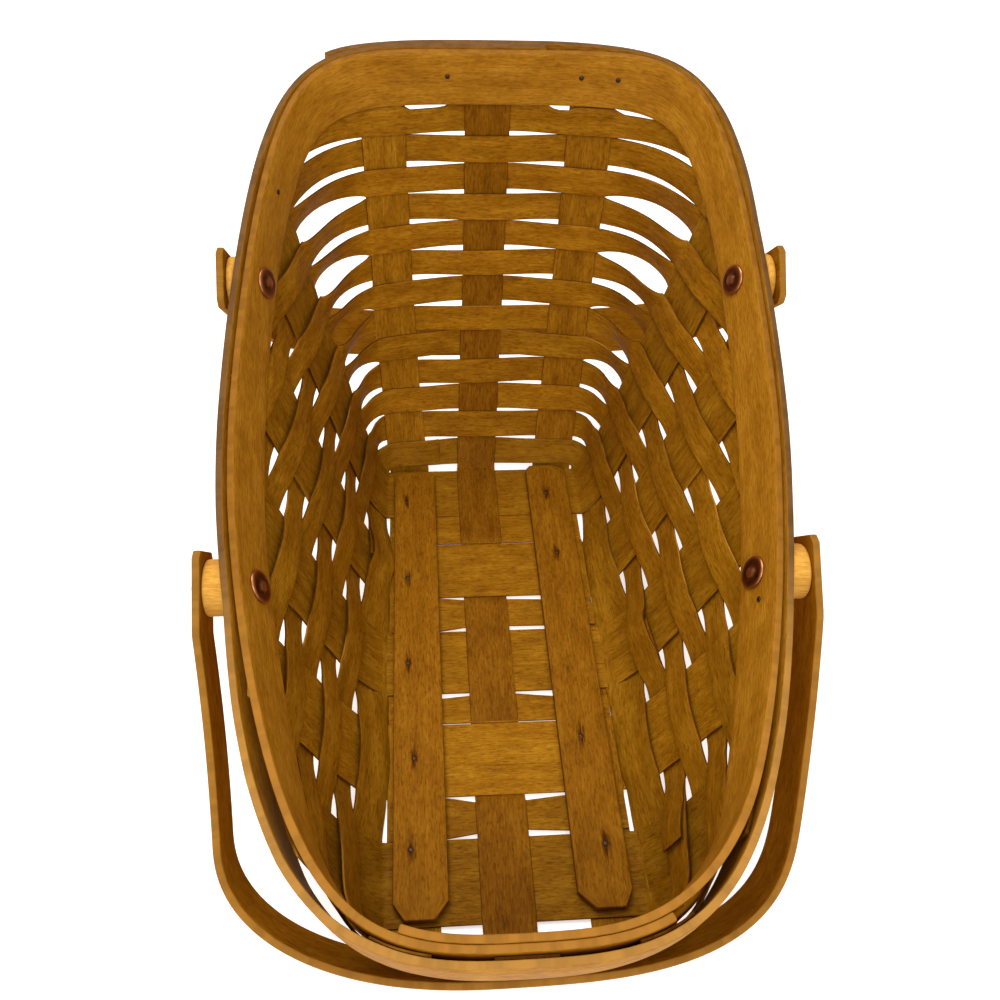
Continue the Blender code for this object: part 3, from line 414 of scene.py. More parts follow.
# ================================================================ materials
def wood(name, dark, mid, light, edge, edge_shade=None, fleck=0.6, rough=0.56, bump=0.35, scale=1.0,
         shine=0.035, nails=(), edge_back_shade=None):
    """Stained maple: blotches, long growth bands, fine fibres, short dark flecks, nail stains."""
    mat = bpy.data.materials.new(name)
    mat.use_nodes = True
    nt = mat.node_tree
    bsdf = nt.nodes["Principled BSDF"]
    N, L = nt.nodes.new, nt.links.new

    def math_node(op, a, b=None, clamp=False):
        n = N("ShaderNodeMath")
        n.operation = op
        n.use_clamp = clamp
        for i, v in enumerate((a, b)):
            if v is None:
                continue
            if isinstance(v, (int, float)):
                n.inputs[i].default_value = v
            else:
                L(v, n.inputs[i])
        return n.outputs[0]

    def mix(kind, fac, a, b):
        n = N("ShaderNodeMix")
        n.data_type = "RGBA"
        n.blend_type = kind
        n.clamp_result = False
        for sock, v in ((n.inputs[0], fac), (n.inputs[6], a), (n.inputs[7], b)):
            if isinstance(v, (int, float)):
                sock.default_value = v
            elif isinstance(v, tuple):
                sock.default_value = v + (1.0,) if len(v) == 3 else v
            else:
                L(v, sock)
        return n.outputs[2]

    g = N("ShaderNodeAttribute")
    g.attribute_name = GRAIN
    sep = N("ShaderNodeSeparateXYZ")
    L(g.outputs["Vector"], sep.inputs[0])
    k = N("ShaderNodeAttribute")
    k.attribute_name = LOOK
    look = N("ShaderNodeSeparateXYZ")
    L(k.outputs["Vector"], look.inputs[0])

    def coords(sa, sc, ss):
        comb = N("ShaderNodeCombineXYZ")
        L(math_node("MULTIPLY", sep.outputs[0], sa), comb.inputs[0])
        L(math_node("MULTIPLY", sep.outputs[1], sc), comb.inputs[1])
        L(math_node("MULTIPLY", sep.outputs[2], ss), comb.inputs[2])
        return comb.outputs[0]

    def noise(vec, detail, rough_, distort=0.0):
        n = N("ShaderNodeTexNoise")
        n.inputs["Scale"].default_value = 1.0
        n.inputs["Detail"].default_value = detail
        n.inputs["Roughness"].default_value = rough_
        n.inputs["Distortion"].default_value = distort
        L(vec, n.inputs["Vector"])
        return n.outputs["Fac"]

    def ramp(fac, *stops):
        n = N("ShaderNodeValToRGB")
        el = n.color_ramp.elements
        while len(el) < len(stops):
            el.new(0.5)
        for e, (pos, col) in zip(el, stops):
            e.position = pos
            e.color = col if len(col) == 4 else tuple(col) + (1.0,)
        L(fac, n.inputs[0])
        return n.outputs["Color"]

    blotch = noise(coords(58 * scale, 135 * scale, 7.1), 3.0, 0.6)
    bands = noise(coords(12 * scale, 400 * scale, 3.7), 2.0, 0.5, 0.3)
    fibre = noise(coords(150 * scale, 1500 * scale, 11.3), 2.0, 0.6, 0.5)
    pores = noise(coords(330 * scale, 1250 * scale, 23.0), 1.0, 0.5, 0.3)
    mottle = noise(coords(420 * scale, 620 * scale, 31.0), 2.0, 0.6)

    tone = math_node("ADD", math_node("MULTIPLY", blotch, 0.45), math_node("MULTIPLY", bands, 0.20))
    tone = math_node("ADD", tone, math_node("MULTIPLY", fibre, 0.17))
    tone = math_node("ADD", tone, math_node("MULTIPLY", mottle, 0.18))
    colour = ramp(tone, (0.36, dark), (0.50, mid), (0.64, light))
    pore = ramp(pores, (0.33, (0.0, 0.0, 0.0)), (0.47, (1.0, 1.0, 1.0)))
    pore_amt = math_node("MULTIPLY", math_node("SUBTRACT", 1.0, pore), fleck)
    colour = mix("MULTIPLY", pore_amt, colour, (0.58, 0.50, 0.40))
    fine = ramp(fibre, (0.36, (0.87, 0.85, 0.80)), (0.62, (1.08, 1.08, 1.08)))
    colour = mix("MULTIPLY", 1.0, colour, fine)
    if nails:
        near = None
        for spot in nails:
            d = N("ShaderNodeVectorMath")
            d.operation = "SUBTRACT"
            L(g.outputs["Vector"], d.inputs[0])
            d.inputs[1].default_value = (spot[0], spot[1], 0.0)
            s = N("ShaderNodeVectorMath")
            s.operation = "MULTIPLY"
            L(d.outputs[0], s.inputs[0])
            s.inputs[1].default_value = (1.0 / (7.5 * MM), 1.0 / (2.2 * MM), 0.0)
            ln = N("ShaderNodeVectorMath")
            ln.operation = "LENGTH"
            L(s.outputs[0], ln.inputs[0])
            near = ln.outputs["Value"] if near is None else math_node("MINIMUM", near, ln.outputs["Value"])
        near = math_node("ADD", near, math_node("MULTIPLY", math_node("SUBTRACT", fibre, 0.5), 1.6))
        ring = ramp(near, (0.25, (0.32, 0.22, 0.12)), (1.15, (1.0, 1.0, 1.0)))
        colour = mix("MULTIPLY", 1.0, colour, ring)
    # painted shade: the splint edges turn dark in patches, standing in for the gap shadows between strips
    if edge_shade:
        patch = noise(coords(24, 60, 5.3), 1.0, 0.5)
        rim = ramp(patch, (0.54, edge_shade), (0.68, edge))
    else:
        rim = ramp(fibre, (0.38, tuple(0.80 * v for v in edge)), (0.60, edge))
    # painted shade: toward the back the edges turn to a darker edge colour, mixed in by the look attribute's third
    # channel
    if edge_back_shade:
        far = ramp(fibre, (0.38, tuple(0.75 * v for v in edge_back_shade)), (0.60, edge_back_shade))
        rim = mix("MIX", look.outputs[2], rim, far)
    colour = mix("MIX", look.outputs[1], colour, rim)
    tint = N("ShaderNodeCombineXYZ")
    for i in range(3):
        L(look.outputs[0], tint.inputs[i])
    colour = mix("MULTIPLY", 1.0, colour, tint.outputs[0])
    warm = colour if edge_back_shade else mix("MULTIPLY", look.outputs[2], colour, (1.0, 0.80, 0.60))
    L(warm, bsdf.inputs["Base Color"])
    rn = math_node("ADD", math_node("MULTIPLY", blotch, 0.16), rough - 0.08)
    rn = math_node("ADD", rn, math_node("MULTIPLY", pore_amt, 0.12))
    L(rn, bsdf.inputs["Roughness"])
    bsdf.inputs["Specular IOR Level"].default_value = shine
    height = math_node("ADD", math_node("MULTIPLY", fibre, 0.6),
                       math_node("MULTIPLY", pore_amt, -0.6))
    bn = N("ShaderNodeBump")
    bn.inputs["Strength"].default_value = bump
    bn.inputs["Distance"].default_value = 0.00025
    L(height, bn.inputs["Height"])
    L(bn.outputs[0], bsdf.inputs["Normal"])
    return mat


def metal(name, colour, worn, rough, amount=0.5):
    mat = bpy.data.materials.new(name)
    mat.use_nodes = True
    nt = mat.node_tree
    bsdf = nt.nodes["Principled BSDF"]
    N, L = nt.nodes.new, nt.links.new
    k = N("ShaderNodeAttribute")
    k.attribute_name = LOOK
    look = N("ShaderNodeSeparateXYZ")
    L(k.outputs["Vector"], look.inputs[0])
    tc = N("ShaderNodeTexCoord")
    n = N("ShaderNodeTexNoise")
    n.inputs["Scale"].default_value = 420.0
    n.inputs["Detail"].default_value = 3.0
    L(tc.outputs["Object"], n.inputs["Vector"])
    r = N("ShaderNodeValToRGB")
    r.color_ramp.elements[0].position = 0.38
    r.color_ramp.elements[0].color = tuple(0.55 * v for v in colour) + (1.0,)
    r.color_ramp.elements[1].position = 0.66
    r.color_ramp.elements[1].color = tuple(colour) + (1.0,)
    L(n.outputs["Fac"], r.inputs[0])
    m = N("ShaderNodeMix")
    m.data_type = "RGBA"
    L(look.outputs[1], m.inputs[0])
    L(r.outputs["Color"], m.inputs[6])
    m.inputs[7].default_value = tuple(worn) + (1.0,)
    L(m.outputs[2], bsdf.inputs["Base Color"])
    q = N("ShaderNodeMapRange")
    q.inputs["To Min"].default_value = rough - 0.08
    q.inputs["To Max"].default_value = rough + 0.14
    L(n.outputs["Fac"], q.inputs["Value"])
    L(q.outputs["Result"], bsdf.inputs["Roughness"])
    bsdf.inputs["Metallic"].default_value = 1.0
    bn = N("ShaderNodeBump")
    bn.inputs["Strength"].default_value = 0.25
    bn.inputs["Distance"].default_value = 0.0002
    L(n.outputs["Fac"], bn.inputs["Height"])
    L(bn.outputs[0], bsdf.inputs["Normal"])
    return mat


RUNNER_TACKS = (((-0.17, -4.62), (-0.09, -2.69), (-0.20, -0.36), (-0.19, 2.05), (-0.21, 4.54)),
                ((0.13, -4.68), (-0.05, -2.34), (0.00, 2.73), (-0.06, 4.78)))
RUNNER_ENDS = ((-5.95 * S, 5.60 * S), (-5.90 * S, 5.78 * S))
# painted shade: a dark colour for the splints' edges that stands in for the shadow in the gaps between strips
PAINTED_EDGE_SHADE = (0.10, 0.030, 0.003)
SPLINT = wood("splint_maple", (0.235, 0.088, 0.0028), (0.330, 0.137, 0.0050), (0.430, 0.197, 0.011),
              (0.44, 0.20, 0.03), PAINTED_EDGE_SHADE)
# band edges: the outer band's edge colour is a golden tone lighter than its face, partly edge grain and partly painted
# highlight of the light from above; on both bands the edges turn to a darker colour toward the back, painted shade
BAND = wood("band_maple", (0.32, 0.120, 0.0050), (0.425, 0.175, 0.0085), (0.53, 0.238, 0.018),
            (0.50, 0.235, 0.045), fleck=0.45, shine=0.08, edge_back_shade=(0.20, 0.092, 0.026))
INNER = wood("inner_band_maple", (0.32, 0.120, 0.0050), (0.425, 0.175, 0.0085), (0.53, 0.238, 0.018),
             (0.42, 0.175, 0.022), fleck=0.45, shine=0.08, edge_back_shade=(0.33, 0.130, 0.012))
# handle edges: a colour lighter than the face, partly edge grain and partly painted highlight of the light from above
HANDLE = wood("handle_maple", (0.235, 0.086, 0.0035), (0.310, 0.122, 0.0055), (0.385, 0.165, 0.012),
              (0.37, 0.165, 0.026), fleck=0.45, rough=0.75, shine=0.0)
# painted shade: the runners' edge colour is darker than their face, standing in for the shadow line round each runner
RUNNERS = [wood("runner_maple_" + side, (0.235, 0.084, 0.0022), (0.305, 0.116, 0.0034), (0.38, 0.158, 0.0080),
                (0.19, 0.070, 0.006), fleck=0.6, shine=0.04,
                nails=[(along * S - ends[0], aside * S) for aside, along in spots])
           for side, ends, spots in zip(("left", "right"), RUNNER_ENDS, RUNNER_TACKS)]
PALE = wood("turned_maple", (0.64, 0.295, 0.042), (0.73, 0.36, 0.058), (0.80, 0.42, 0.075),
            (0.80, 0.43, 0.09), fleck=0.10)
COPPER = metal("aged_copper", (0.20, 0.064, 0.022), (0.55, 0.22, 0.085), 0.32)
STEEL = metal("dark_tack", (0.030, 0.019, 0.012), (0.11, 0.068, 0.040), 0.48)

T_STAKE, T_WEAVE = 0.90 * MM, 0.90 * MM
WEAVE_OFF = 1.30 * MM


# ================================================================ upright and floor splints
def painted_light_back(p):
    """Painted light: the back wall's splints are made a little paler than the rest, standing in for the light on the
    back wall's inside face.
    """
    return 1.0 + 0.16 * smoothstep((p[:, 1] - 5.5 * S) / (0.9 * S)) * smoothstep((p[:, 2] - 8 * MM) / (20 * MM))


def row_z(row):
    return ROW_Z0 + (ROWS - row) * ROW_PITCH


def row_side(row, stake):
    if stake["side"] in ("back", "front"):
        group = 1 if stake["k"] == 1 else -1
    else:
        group = 1 if stake["k"] % 2 == 0 else -1
    return group if row % 2 == 1 else -group


def give(stake, z):
    """How far an upright splint bows away from the weavers that cross it."""
    x = (ROWS - (z - ROW_Z0) / ROW_PITCH)
    i = math.floor(x)
    t = smoothstep(x - i)
    a = row_side(min(max(i, 1), ROWS), stake) if 1 <= i <= ROWS else 0
    b = row_side(min(max(i + 1, 1), ROWS), stake) if 1 <= i + 1 <= ROWS else 0
    top = band_top(stake["u"]) - BAND_H
    fade = float(1.0 - smoothstep((z - top + 8 * MM) / (8 * MM))) * float(smoothstep((z - 6 * MM) / (8 * MM)))
    return -0.22 * MM * (a * (1 - t) + b * t) * fade


def find_stake(side, k):
    return [q for q in STAKES if q["side"] == side and q["k"] == k][0]


def stake_top(stake):
    f = np.array((-1.0, -0.5, 0.0, 0.5, 1.0))
    return float(np.min(band_top(stake["u"] + f * stake["w"] / 2))) - 1.6 * MM


def hermite(p0, t0, p1, t1, count):
    out = []
    for i in range(1, count):
        t = i / count
        h00, h10 = 2 * t ** 3 - 3 * t ** 2 + 1, t ** 3 - 2 * t ** 2 + t
        h01, h11 = -2 * t ** 3 + 3 * t ** 2, t ** 3 - t ** 2
        out.append(h00 * p0 + h10 * t0 + h01 * p1 + h11 * t1)
    return out


def climb(stake, flip, cols, rounding, name):
    """Mid-surface rows of an upright splint from its foot to its top."""
    top = stake_top(stake)
    count = max(8, int((top - WALL_FOOT) / (3.4 * MM)))
    wob = slow_noise(count + 1, 9, 0.18 * MM, abs(hash_name(name)) % 9973)
    wid = slow_noise(count + 1, 7, 0.10 * MM, abs(hash_name(name)) % 7919 + 1)
    out = []
    for i in range(count + 1):
        z = WALL_FOOT + (top - WALL_FOOT) * i / count
        half = stake_half(stake, z)
        real = 1.0 - (rounding + 0.05 * MM - wid[i]) / (stake["w"] / 2)
        f = cols * flip * half * real + wob[i] * min(1.0, i / 6)
        out.append(off(stake["u"] + f, z, give(stake, z) + np.zeros(len(cols))))
    return out


def hash_name(name):
    h = 0
    for ch in name:
        h = (h * 131 + ord(ch)) % 1000003
    return h


def floor_level(side):
    return FLOOR_Z + side * FLOOR_STEP


def cross_edges(k):
    return CROSS_Y[k] - CROSS_W / 2, CROSS_Y[k] + CROSS_W / 2


FILL_FAR = 2.3 * MM
FILL_X = np.array((-2.36, -1.245, -0.65, 0.35, 1.145, 2.36)) * S
FILL_GAPS = (((0.15, 0.15, 0.15, 0.15, 0.15, 0.15), (0.45, 0.45, 0.45, 0.45, 0.45, 0.45)),
             ((0.1, 0.2, 1.9, 2.0, 2.7, 2.9), (0.2, 0.3, 2.3, 2.5, 2.2, 2.0)),
             ((2.8, 2.6, 1.6, 1.2, 3.3, 3.6), (0.5, 0.5, 0.5, 0.5, 0.5, 0.5)),
             ((0.1, 0.2, 2.9, 3.0, 1.4, 1.2), (0.1, 0.2, 2.1, 2.9, 1.6, 1.3)))


def filler_edges(k, x):
    """Filler k lies between crosswise splints k and k + 1, a wedge-shaped slit on some sides."""
    behind, before = (np.interp(x, FILL_X, np.array(g) * MM) for g in FILL_GAPS[k])
    return cross_edges(k + 1)[1] + before, cross_edges(k)[0] - behind


def unit(v):
    return v / np.linalg.norm(v, axis=-1, keepdims=True)


def reach(p, q):
    return 1.1 * np.linalg.norm(q - p, axis=-1, keepdims=True)


def join_floor(up_a, up_b, flat):
    """One strip: up one wall (reversed), a bend, the floor rows, a bend, up the other wall."""
    rows = list(reversed(up_a))
    p0, p1 = rows[-1], flat[0]
    t0 = rows[-1] - rows[-2]
    t1 = flat[1] - flat[0]
    rows += hermite(p0, unit(t0) * reach(p0, p1), p1, unit(t1) * reach(p0, p1), 6)
    rows += flat
    p0, p1 = flat[-1], up_b[0]
    t0 = flat[-1] - flat[-2]
    t1 = up_b[1] - up_b[0]
    rows += hermite(p0, unit(t0) * reach(p0, p1), p1, unit(t1) * reach(p0, p1), 6)
    rows += up_b
    rows = np.array(rows)
    rows[..., 2] = np.maximum(rows[..., 2], 0.46 * MM)
    return rows


def lengthwise(i, tint, hue):
    x = STAKE_X[i]
    name = "stake_lengthwise_" + ("left", "centre", "right")[i]
    back, front = find_stake("back", i), find_stake("front", i)
    r = 0.36 * MM
    cols = np.linspace(-1, 1, 7)
    side = 1 if i == 1 else -1
    spare = -0.6 * MM if side > 0 else 0.55 * MM
    ys = np.linspace(cross_edges(0)[1] + spare, cross_edges(4)[0] - spare, 120)
    edges = []
    for k in (1, 3):
        lo, hi = cross_edges(k)
        edges += [hi + FILL_FAR / 2, lo - FILL_FAR / 2]
    flat = []
    for y in ys:
        # glide from one level to the other over a few millimetres
        lev = side
        for e in edges:
            lev = lev - 2 * lev * float(smoothstep((e - y) / (3.0 * MM) + 0.5))
        z = FLOOR_Z + FLOOR_STEP * lev
        half = STAKE_W / 2 - r
        flat.append(np.stack([x + cols * half, np.full(7, y), np.full(7, z)], axis=-1))
    mid = join_floor(climb(back, +1, cols, r, name + "b"), climb(front, -1, cols, r, name + "f"), flat)
    return sheet(name, mid, T_STAKE, r, SPLINT, "basket", (name,), tint=tint, hue=hue, shade=painted_light_back)


def crosswise(k, tint, hue):
    y = CROSS_Y[k]
    name = "stake_crosswise_%d" % (k + 1)
    right, left = find_stake("right", k), find_stake("left", k)
    r = 0.36 * MM
    cols = np.linspace(-1, 1, 11)
    flat_x = BASE_HALF_X - 3.3 * MM
    flat = []
    for x in np.linspace(flat_x, -flat_x, 30):
        half = CROSS_W / 2 - r
        flat.append(np.stack([np.full(11, x), y - cols * half, np.full(11, FLOOR_Z)], axis=-1))
    mid = join_floor(climb(right, +1, cols, r, name + "r"), climb(left, -1, cols, r, name + "l"), flat)
    return sheet(name, mid, T_STAKE, r, SPLINT, "basket", (name,), tint=tint, hue=hue, shade=painted_light_back)


for i, (tint, hue) in enumerate(((0.98, 0.1), (0.71, 0.60), (0.88, 0.3))):
    lengthwise(i, tint, hue)
for k, (tint, hue) in enumerate(((0.92, 0.0), (1.02, 0.0), (0.96, 0.0), (1.14, 0.0), (0.80, 0.0))):
    crosswise(k, tint, hue)
for k in range(4):
    r = 0.34 * MM
    mid = []
    for x in np.linspace(-2.36 * S + 0.4 * MM, 2.36 * S - 0.4 * MM, 60):
        y0, y1 = filler_edges(k, x)
        mid.append([(x, y, FLOOR_Z) for y in np.linspace(y1 - r, y0 + r, 5)])
    mid = np.array(mid)
    sheet("floor_filler_%d" % (k + 1), mid, 0.8 * MM, r, SPLINT, "basket",
          ("floor_filler_%d" % (k + 1),), tint=(1.0, 0.94, 1.0, 0.86)[k], hue=0.1)


# ================================================================ weavers
CORNER_TWIST = (0, 0.6, 1.2, 3.4, 2.2, 3.6, 2.6, 3.6, 2.8, 2.6, 1.6, 1.2, 0.8, 0.3)
CORNER_LIFT = (0, 0, 0.2, 1.5, -1.4, 1.6, -1.6, 1.7, -1.5, 0.8, -0.4, 0, 0, 0)
TOP_SLITS = ((-3.15, 0), (-2.95, 1.7), (-2.65, 1.6), (-2.45, 0), (-1.80, 0), (-1.65, 2.3), (-0.95, 1.9), (-0.75, 0),
             (1.35, 0), (1.50, 1.8), (1.80, 1.8), (1.95, 0), (2.75, 0), (3.00, 2.2), (3.70, 2.4), (3.95, 0))


def weave_depth(row):
    """Stations round a row: arc length, side of the wall, width share and twist of the strip."""
    z = row_z(row)
    out = []
    n = len(STAKES)
    for i, s in enumerate(STAKES):
        t = STAKES[(i + 1) % n]
        u1 = t["u"] + (BASE_TOTAL if i == n - 1 else 0.0)
        half, half1 = stake_half(s, z), stake_half(t, z)
        a, b = row_side(row, s), row_side(row, t)
        at_side = s["side"] in ("left", "right")
        cnt = max(4, int(2 * half / (3.0 * MM)))
        swell = (1.45 if a < 0 else 0.35) if at_side else (0.40 if a < 0 else 0.05)
        wide = 0.960 if at_side else 0.912
        for f in np.linspace(-1, 1, cnt + 1):
            out.append((s["u"] + f * half, a * (1.0 + swell * (1 - f * f)), wide, 0.0))
        gap = np.linalg.norm(wall(u1 - half1, z) - wall(s["u"] + half, z))
        cnt = max(5, int(gap / (2.4 * MM)))
        wide1 = 0.960 if t["side"] in ("left", "right") else 0.912
        corner = s["side"] != t["side"]
        back = "back" in (s["side"], t["side"])
        pinch = (((0.20 if row >= 5 else 0.12) if 3 <= row <= 9 else 0.04) if back else 0.06) if corner else (0.062 if at_side else 0.015)
        for f in np.linspace(0, 1, cnt + 1)[1:-1]:
            m = math.sin(math.pi * f)
            out.append((s["u"] + half + f * (u1 - half1 - s["u"] - half),
                        a + (b - a) * float(smoothstep(f)),
                        wide + (wide1 - wide) * f - pinch * m ** 1.4,
                        (CORNER_TWIST[row] * MM * m if corner and back else 0.0)))
    out = np.array(out)
    return out[np.argsort(out[:, 0])].T


SLIT_AT = {"left": ((6.3, 0.0), (4.20, 3.4), (3.24, 0.0), (-3.40, 0.0), (-3.46, 1.9), (-4.36, 3.8), (-6.3, 3.0)),
           "right": ((6.3, 0.0), (4.20, 4.6), (3.05, 0.0), (-3.15, 0.0), (-3.46, 1.4), (-4.36, 2.0), (-6.3, 1.6))}


def toe_in(p, zz):
    """The wide lowest row leans in at the sides until it touches the outer lengthwise splints."""
    side = "right" if p[0, 0] > 0 else "left"
    edge = abs(STAKE_X[2] + STAKE_W / 2 if side == "right" else STAKE_X[0] - STAKE_W / 2) + 0.2 * MM
    ys, gaps = np.array(SLIT_AT[side][::-1]).T
    target = edge + np.interp(p[:, 1], ys * S, gaps * MM)
    share = np.clip(1.0 - (zz - zz.min()) / (9.0 * MM), 0, 1) ** 1.5
    out = p.copy()
    pull = np.clip(np.abs(p[:, 0]) - target, 0.0, 4.0 * MM) * share
    out[:, 0] -= np.sign(p[:, 0]) * pull
    return out


def weaver(row, tint, hue):
    name = "weaver_row_%02d" % row
    z = row_z(row)
    us, ds, ws, ts = weave_depth(row)
    full = float(np.min(band_top(us) - BAND_H)) > z + ROW_W / 2 + 0.3 * MM
    lap_at = {11: find_stake("left", 3)["u"], 12: find_stake("right", 2)["u"],
              13: find_stake("left", 1)["u"]}
    r = 0.36 * MM
    cols = np.linspace(-1, 1, 9 if row == ROWS else 7)
    if full:
        start = lap_at[row]
        span = 5.0 * S
        first = (us >= start)
        us2, ds2, ws2, ts2 = (np.concatenate([q[first], q[~first] + w])
                              for q, w in ((us, BASE_TOTAL), (ds, 0.0), (ws, 0.0), (ts, 0.0)))
        more = us2 < us2[0] + span
        lay0 = 1.0 - smoothstep((us2 - us2[0] - span + 9 * MM) / (9 * MM))
        us_f = np.concatenate([us2, us2[more] + BASE_TOTAL])
        ds3, ws, ts = (np.concatenate([q, q[more]]) for q in (ds2, ws2, ts2))
        outer = np.concatenate([lay0, np.zeros(more.sum())])
        inner = np.concatenate([smoothstep((us2 - us2[0] - BASE_TOTAL + 9 * MM) / (9 * MM)),
                                np.ones(more.sum())])
        depth = WEAVE_OFF * ds3
        depth = depth + np.where(ds3 > 0, outer, 0) * ds3 * 0.95 * MM
        depth = depth + np.where(ds3 < 0, inner, 0) * ds3 * 0.95 * MM
    else:
        back = np.where(us > BASE_TOTAL / 2, us - BASE_TOTAL, us)
        order = np.argsort(back)
        us_f, depth, ws, ts = back[order], WEAVE_OFF * ds[order], ws[order], ts[order]
        keep = (band_top(us_f) - BAND_H) > z - ROW_W / 2 - 2.0 * MM
        us_f, depth, ws, ts = us_f[keep], depth[keep], ws[keep], ts[keep]
    n = len(us_f)
    wob = slow_noise(n, 16, 0.30 * MM, row * 17 + 3)
    wid = slow_noise(n, 23, 0.12 * MM, row * 29 + 5)
    rows = []
    for u, d, share, twist, w, g in zip(us_f, depth, ws, ts, wob, wid):
        low_edge = float(band_top(u)) - BAND_H
        half = share * ROW_PITCH / 2 + g
        w += CORNER_LIFT[row] * twist / max(CORNER_TWIST[row], 0.1)
        lo, hi = z - half + w + r, z + half + w - r
        if row == ROWS:
            foot = wall(u, 4 * MM)
            flank = float(np.clip((abs(foot[0]) / BASE_HALF_X) ** 24 * 1.6, 0, 1))
            lo = ROW_LOW + 0.6 * MM + (1.3 * MM - ROW_LOW - 0.6 * MM) * flank + r
        hi = min(hi, low_edge + 4.0 * MM)
        if row == 1:
            top = wall(u, z)
            if top[1] > 6.0 * S:
                xs, drops = zip(*TOP_SLITS)
                hi -= float(np.interp(top[0] / S, xs, drops)) * MM
        hi = max(hi, lo + 0.4 * MM)
        zz = lo + (hi - lo) * (cols + 1) / 2
        squeeze = smoothstep((zz - low_edge + 2.5 * MM) / (2.5 * MM))
        dd = d - twist * cols
        dd = dd * (1 - squeeze) + np.sign(d) * min(abs(d), 0.45 * MM) * squeeze
        p = off(u, zz, dd)
        if row == ROWS and flank > 0.5:
            p = toe_in(p, zz)
        p[:, 2] = np.maximum(p[:, 2], 1.0 * MM)
        rows.append(p)
    return sheet(name, np.array(rows), T_WEAVE, r, SPLINT, "basket", (name,),
                 tint=tint, hue=hue, shade=painted_light_back)


TINTS = rng.uniform(0.90, 1.10, ROWS)
HUES = rng.uniform(0.0, 0.3, ROWS)
for row in range(1, ROWS + 1):
    weaver(row, float(TINTS[row - 1]), float(HUES[row - 1]))


# ================================================================ rim bands
OFF_LEFT = ((-7.4, 0), (-7.0, 1.4), (-6.2, 3.0), (-5.0, 3.2), (-4.0, 2.4), (-3.0, 0.9), (-2.4, 0))
OFF_RIGHT = ((-7.4, 0), (-6.8, 0.2), (-5.6, 0.5), (-4.4, 0.6), (-3.0, 0.3), (-2.4, 0), (4.3, 0), (5.2, 0.9), (6.4, 1.4),
             (7.3, 0.4), (7.6, 0))


def band(name, sign, u_start, travel, tint, mat):
    v_start = rim_length(u_start)
    step = 4.0 * MM
    ramp = 60.0 * MM
    stops = list(np.arange(0.0, RIM_TOTAL + LAP, step)) + [RIM_TOTAL + LAP]
    r = 0.55 * MM
    cols = np.linspace(-1, 1, 9)
    rows = []
    wob = slow_noise(len(stops), 22, 0.22 * MM, 5 + sign)
    for i, dv in enumerate(stops):
        layer = float(smoothstep((dv - RIM_TOTAL + ramp) / ramp))
        u = base_length(v_start + travel * dv)
        hi, lo = float(band_top(u)), float(band_top(u)) - BAND_H
        zz = (hi + lo) / 2 + cols * (BAND_H / 2 - r)
        d = BAND_OFF + BAND_T / 2 + layer * (BAND_T + 0.25 * MM)
        if sign > 0:
            d += 1.8 * MM * float(smoothstep((dv - RIM_TOTAL - LAP + 26 * MM) / (26 * MM)))
            head = at_length(RIM_PTS, RIM_LEN, v_start + travel * dv)
            off_y, away = zip(*(OFF_LEFT if head[0] < 0 else OFF_RIGHT))
            d += float(np.interp(head[1] / S, off_y, away)) * MM * (1.0 - layer)
        rows.append(off(u, zz, np.full(len(cols), sign * d)))
    rows = np.array(rows)
    # painted shade: far rises from front to back and darkens the band edges there
    far = smoothstep((rows[:, 4, 1] + 4.2 * S) / (3.0 * S))
    return sheet(name, rows, BAND_T, r, mat, "basket", (name,), tint=tint, hue=far)


u_front_right = nearest_length(BASE_PTS, BASE_LEN, "front", 2.1 * S)
u_back_right = nearest_length(BASE_PTS, BASE_LEN, "back", 0.90 * S)
inner_band = band("inner_rim_band", -1, u_front_right, +1, 1.0, INNER)
outer_band = band("outer_rim_band", +1, u_back_right, -1, 0.94, BAND)


# ================================================================ floor runners
def bar(name, xc, ends, clips, tint, lean, mat):
    """Thick bar, its four corners cut off askew, with softened edges."""
    w = RUNNER_W / 2
    r = 0.6 * MM
    y0, y1 = ends
    (fl, fr), (bl, br) = clips                   # each is (across, along) of a cut corner
    e = 0.02 * MM
    deep0, deep1 = max(fl[1], fr[1]), max(bl[1], br[1])
    near = sorted({0.0, fl[1], fr[1], deep0 + 0.5 * MM})
    far = sorted({0.0, bl[1], br[1], deep1 + 0.5 * MM})
    ys = [y0 + q for q in near] + list(np.linspace(y0 + deep0 + 3 * MM, y1 - deep1 - 3 * MM, 54))
    ys += [y1 - q for q in reversed(far)]
    rows = []
    cols = np.linspace(0, 1, 9)

    def cut(y, front, back):
        a = front[0] * max(0.0, 1 - (y - y0) / front[1])
        b = back[0] * max(0.0, 1 - (y1 - y) / back[1])
        return max(a, b)

    for y in ys:
        left, right = xc - w + cut(y, fl, bl) + r, xc + w - cut(y, fr, br) - r
        t = (y - y0) / (y1 - y0)
        bow = 0.10 * MM * math.sin(math.pi * t * 2.0 + lean)
        rows.append([(left + (right - left) * q + lean * 0.15 * MM, y, RUNNER_Z + RUNNER_T / 2 + bow)
                     for q in cols])
    return sheet(name, np.array(rows), RUNNER_T, r, mat, "basket", (name,), tint=tint,
                 sharp=0.5)


bar("floor_runner_left", RUNNER_X[0], RUNNER_ENDS[0],
    (((4.6 * MM, 7.0 * MM), (5.6 * MM, 7.4 * MM)), ((6.4 * MM, 3.0 * MM), (3.2 * MM, 3.6 * MM))), 1.0, 0.6, RUNNERS[0])
bar("floor_runner_right", RUNNER_X[1], RUNNER_ENDS[1],
    (((7.0 * MM, 7.0 * MM), (3.6 * MM, 7.0 * MM)), ((2.6 * MM, 3.4 * MM), (7.2 * MM, 3.2 * MM))), 0.90, -0.8, RUNNERS[1])


